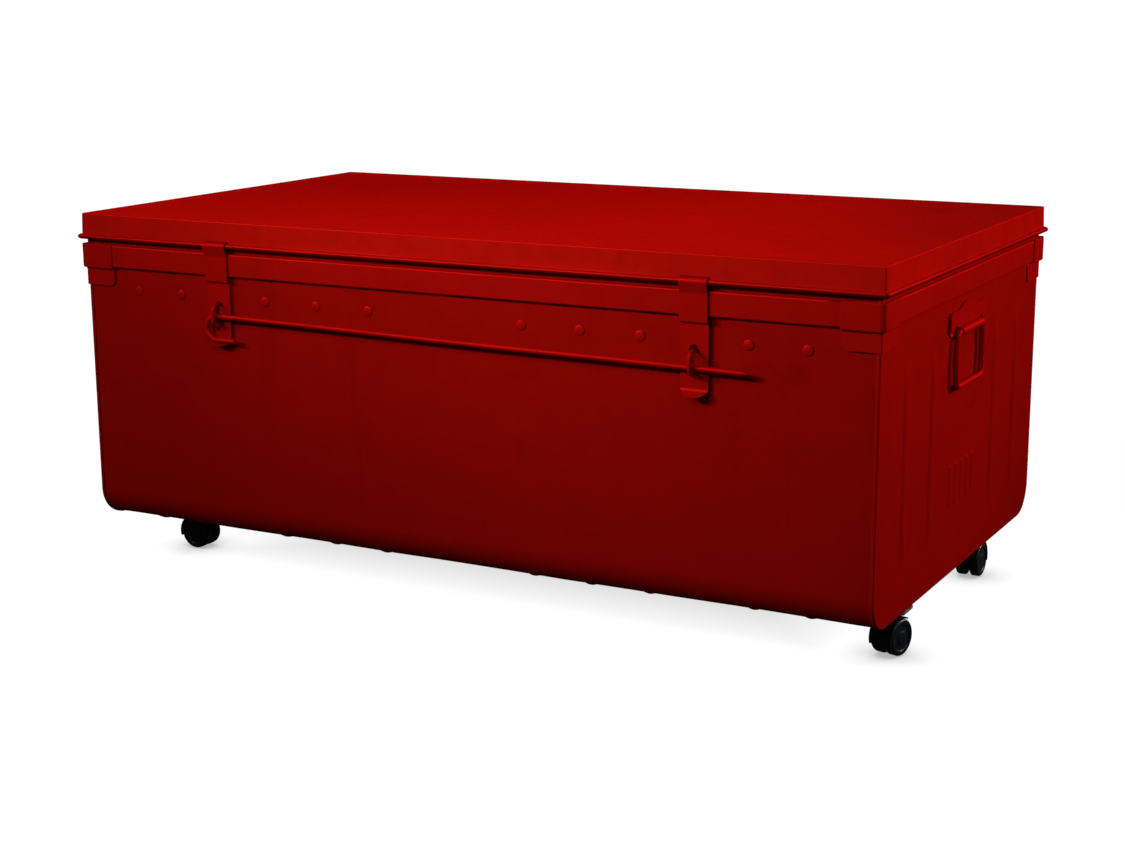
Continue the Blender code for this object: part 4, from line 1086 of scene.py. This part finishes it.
def wheel_shape(sign):
    """A ribbed tread, a rounded shoulder, and a dished disc with a raised hub cap."""
    near = sign * WHEEL_INNER
    far = sign * (WHEEL_INNER + WHEEL_WIDTH)
    bore = AXLE_RADIUS + GAP
    profile = [(0, far - sign * 0.0030), (bore, far - sign * 0.0030), (bore, near),
               (0.0120, near), (WHEEL_RADIUS - 0.0012, near),
               (WHEEL_RADIUS - 0.0003, near + sign * 0.0004),
               (WHEEL_RADIUS, near + sign * 0.0012)]
    for step in (0.0030, 0.0046):
        profile += [(WHEEL_RADIUS, near + sign * step),
                    (WHEEL_RADIUS - 0.0003, near + sign * (step + 0.0003)),
                    (WHEEL_RADIUS - 0.0003, near + sign * (step + 0.0006)),
                    (WHEEL_RADIUS, near + sign * (step + 0.0009))]
    for a in range(0, 91, 15):
        turn = radians(a)
        profile.append((WHEEL_RADIUS - 0.0026 + 0.0026 * cos(turn),
                        far - sign * (0.0026 - 0.0026 * sin(turn))))
    profile += [(0.0148, far), (0.0142, far - sign * 0.0006), (0.0138, far - sign * 0.0012),
                (0.0105, far - sign * 0.0009), (0.0075, far - sign * 0.0008),
                (0.0068, far - sign * 0.0002), (0.0060, far), (0.0030, far), (0, far)]
    return made(add_turned, profile, (0, 0, 0), "X", 64)


def build_castor(name, x, y, angle):
    """The hood and the two wheels of one castor, turned to its resting angle."""
    place = Matrix.Translation((x, y, 0)) @ Matrix.Rotation(angle, 4, "Z")
    hub = place @ Matrix.Translation((0, TRAIL, WHEEL_RADIUS))
    bm = hood_shape()
    bm.transform(place)
    piece("castor_fork_" + name, bm, "castor_swivel_" + name, "black_plastic",
          ["castor_hood_" + name], bevel=0.0006, segments=3)
    for side, sign in (("a", -1), ("b", 1)):
        bm = wheel_shape(sign)
        bm.transform(hub)
        piece("castor_tyre_" + name + "_" + side, bm, "castor_wheels_" + name, "black_plastic",
              ["castor_wheel_" + name + "_" + side])


# ---- stage, light and camera

# area lamps: name, place, aim, width, height, power
AREA_LAMPS = (
    ("top_softbox", (-1.10, 1.25, 1.45), (-0.40, 0.1, 0.43), 2.1, 0.9, 13.8),
    ("front_softbox", (0.05, -0.80, 0.74), (0.03, -0.28, 0.32), 0.45, 0.2, 2.1),
    ("key_lamp", (-1.3, -1.9, 1.3), (0.0, -0.2, 0.35), 0.30, 0.30, 20.0),
    ("side_softbox", (1.15, -0.30, 0.70), (0.49, -0.05, 0.30), 0.3, 0.5, 2.1),
)
# spot lamps: name, place, aim, cone in degrees, power, radius
SPOT_LAMPS = (
    ("end_spot", (2.6, 2.3, 1.4), (0.49, -0.04, 0.43), 29.0, 385.0, 0.12),
    ("key_spot", (-3.75, -3.04, 2.11), (0.24, -0.28, 0.535), 14.5, 480.0, 0.12),
)
WHITE = (1.0, 1.0, 1.0, 1.0)
BACKDROP_STRENGTH = 1.05
ROOM_STRENGTH = 0.032
FLOOR_HALF_SIZE = 9.0
FLOOR_DROP = 0.0006
SHADOW_HALF_X = 0.495
SHADOW_HALF_Y = 0.277
CAMERA_PLACE = (1.1105, -2.0490, 0.6977)
CAMERA_AZIMUTH = radians(28.546)
CAMERA_ELEVATION = radians(12.718)
CAMERA_ROLL = radians(-0.31)
CAMERA_LENS = 62.83


def add_light(name, kind, place, aim, power):
    """A lamp the camera can't see, turned from its place towards what it is aimed at."""
    light = bpy.data.lights.new(name, kind)
    light.energy = power
    obj = add_object(name, light)
    obj.location = place
    obj.rotation_euler = (Vector(aim) - Vector(place)).to_track_quat("-Z", "Y").to_euler()
    obj.visible_camera = False
    return light


def add_area(name, place, aim, size_x, size_y, power):
    light = add_light(name, "AREA", place, aim, power)
    light.shape = "RECTANGLE"
    light.size = size_x
    light.size_y = size_y


def add_spot(name, place, aim, cone, power, radius):
    """A lamp whose beam fades evenly from its middle to the edge of its cone, given in degrees."""
    light = add_light(name, "SPOT", place, aim, power)
    light.spot_size = radians(cone)
    light.spot_blend = 1.0
    light.shadow_soft_size = radius


def build_floor():
    """A glowing white floor, with a painted shadow well under the chest and painted contact shade where
    the wheels touch it.
    """
    bm = bmesh.new()
    bmesh.ops.create_grid(bm, x_segments=4, y_segments=4, size=FLOOR_HALF_SIZE)
    mesh = to_mesh(bm, "studio_floor")
    floor = add_object("studio_floor", mesh)
    floor.location = (0, 0, -FLOOR_DROP)
    mat = bpy.data.materials.new("studio_white")
    mat.use_nodes = True
    shader = mat.node_tree.nodes["Principled BSDF"]
    set_inputs(shader, {"Base Color": (0.12, 0.12, 0.12, 1.0), "Roughness": 0.9,
                        "Specular IOR Level": 0.0, "Emission Color": WHITE})
    tree = mat.node_tree
    coord = new_node(tree, "ShaderNodeTexCoord").outputs["Object"]
    away = new_node(tree, "ShaderNodeVectorMath", operation="LENGTH")
    tree.links.new(coord, away.inputs[0])
    glow = add_range(tree, away.outputs["Value"], 0.9, 2.4, 0.97, 1.06)
    place = new_node(tree, "ShaderNodeSeparateXYZ")
    tree.links.new(coord, place.inputs[0])
    # Painted shadow: the floor's glow is dimmed well inside the chest's footprint, standing in for the
    # shadow under the chest.
    insets = [add_math(tree, "SUBTRACT", half, add_math(tree, "ABSOLUTE", output, 0.0))
              for half, output in zip((SHADOW_HALF_X, SHADOW_HALF_Y), place.outputs)]
    inset = add_math(tree, "MINIMUM", insets[0], insets[1])
    painted_core_shadow = add_range(tree, inset, 0.09, 0.26, 1.0, 0.62)
    # Painted contact shade: an ambient-occlusion test darkens the floor's glow close to the castors.
    near = new_node(tree, "ShaderNodeAmbientOcclusion", samples=8)
    near.inputs["Distance"].default_value = 0.045
    painted_contact_shade = add_range(tree, near.outputs["AO"], 0.3, 1.0, 0.45, 1.0)
    shade = add_math(tree, "MULTIPLY", painted_core_shadow, painted_contact_shade)
    tree.links.new(add_math(tree, "MULTIPLY", glow, shade), shader.inputs["Emission Strength"])
    mesh.materials.append(mat)
    floor.visible_diffuse = False
    floor.visible_glossy = False


def build_world():
    """A white backdrop for the camera, and a much dimmer room for everything else."""
    world = bpy.data.worlds.new("studio")
    bpy.context.scene.world = world
    world.use_nodes = True
    tree = world.node_tree
    room = tree.nodes["Background"]
    set_inputs(room, {"Color": WHITE, "Strength": ROOM_STRENGTH})
    backdrop = new_node(tree, "ShaderNodeBackground")
    set_inputs(backdrop, {"Color": WHITE, "Strength": BACKDROP_STRENGTH})
    seen = new_node(tree, "ShaderNodeLightPath").outputs["Is Camera Ray"]
    mix = new_node(tree, "ShaderNodeMixShader")
    tree.links.new(seen, mix.inputs["Fac"])
    tree.links.new(room.outputs[0], mix.inputs[1])
    tree.links.new(backdrop.outputs[0], mix.inputs[2])
    tree.links.new(mix.outputs[0], tree.nodes["World Output"].inputs["Surface"])


def build_camera():
    """The camera, placed and turned as worked out from the chest's own straight edges."""
    level = cos(CAMERA_ELEVATION)
    back = Vector((sin(CAMERA_AZIMUTH) * level, -cos(CAMERA_AZIMUTH) * level,
                   sin(CAMERA_ELEVATION)))
    right = (-back).cross(Vector((0, 0, 1))).normalized()
    up = right.cross(-back)
    tilted_right = right * cos(CAMERA_ROLL) + up * sin(CAMERA_ROLL)
    tilted_up = up * cos(CAMERA_ROLL) - right * sin(CAMERA_ROLL)
    camera = bpy.data.cameras.new("camera")
    camera.lens = CAMERA_LENS
    camera.sensor_width = 36.0
    camera.sensor_fit = "HORIZONTAL"
    camera.clip_start = 0.05
    camera.dof.use_dof = False
    obj = add_object("camera", camera)
    turn = Matrix((tilted_right, tilted_up, back)).transposed()
    obj.matrix_world = Matrix.Translation(CAMERA_PLACE) @ turn.to_4x4()
    bpy.context.scene.camera = obj


def main():
    bpy.context.scene.view_settings.view_transform = "Standard"
    build_camera()
    build_world()
    build_floor()
    for lamp in AREA_LAMPS:
        add_area(*lamp)
    for lamp in SPOT_LAMPS:
        add_spot(*lamp)
    for name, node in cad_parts.items():
        if name.startswith(("castor_stem", "castor_axle", "castor_plate", "lid_wire")):
            node.data.materials.clear()
            node.data.materials.append(MATS["zinc_plate"])
    build_wrap_sheet()
    build_bands()
    build_corner_plates()
    build_front_rail()
    build_lid()
    build_hinge_straps()
    build_locking_rod()
    for side, sign in (("left", -1), ("right", 1)):
        build_end_panel(side, sign)
        build_staple(side, sign)
        build_hasp(side, sign)
        build_handle(side, sign)
    for name, (x, y, angle) in CASTORS.items():
        build_castor(name, x, y, angle)


main()
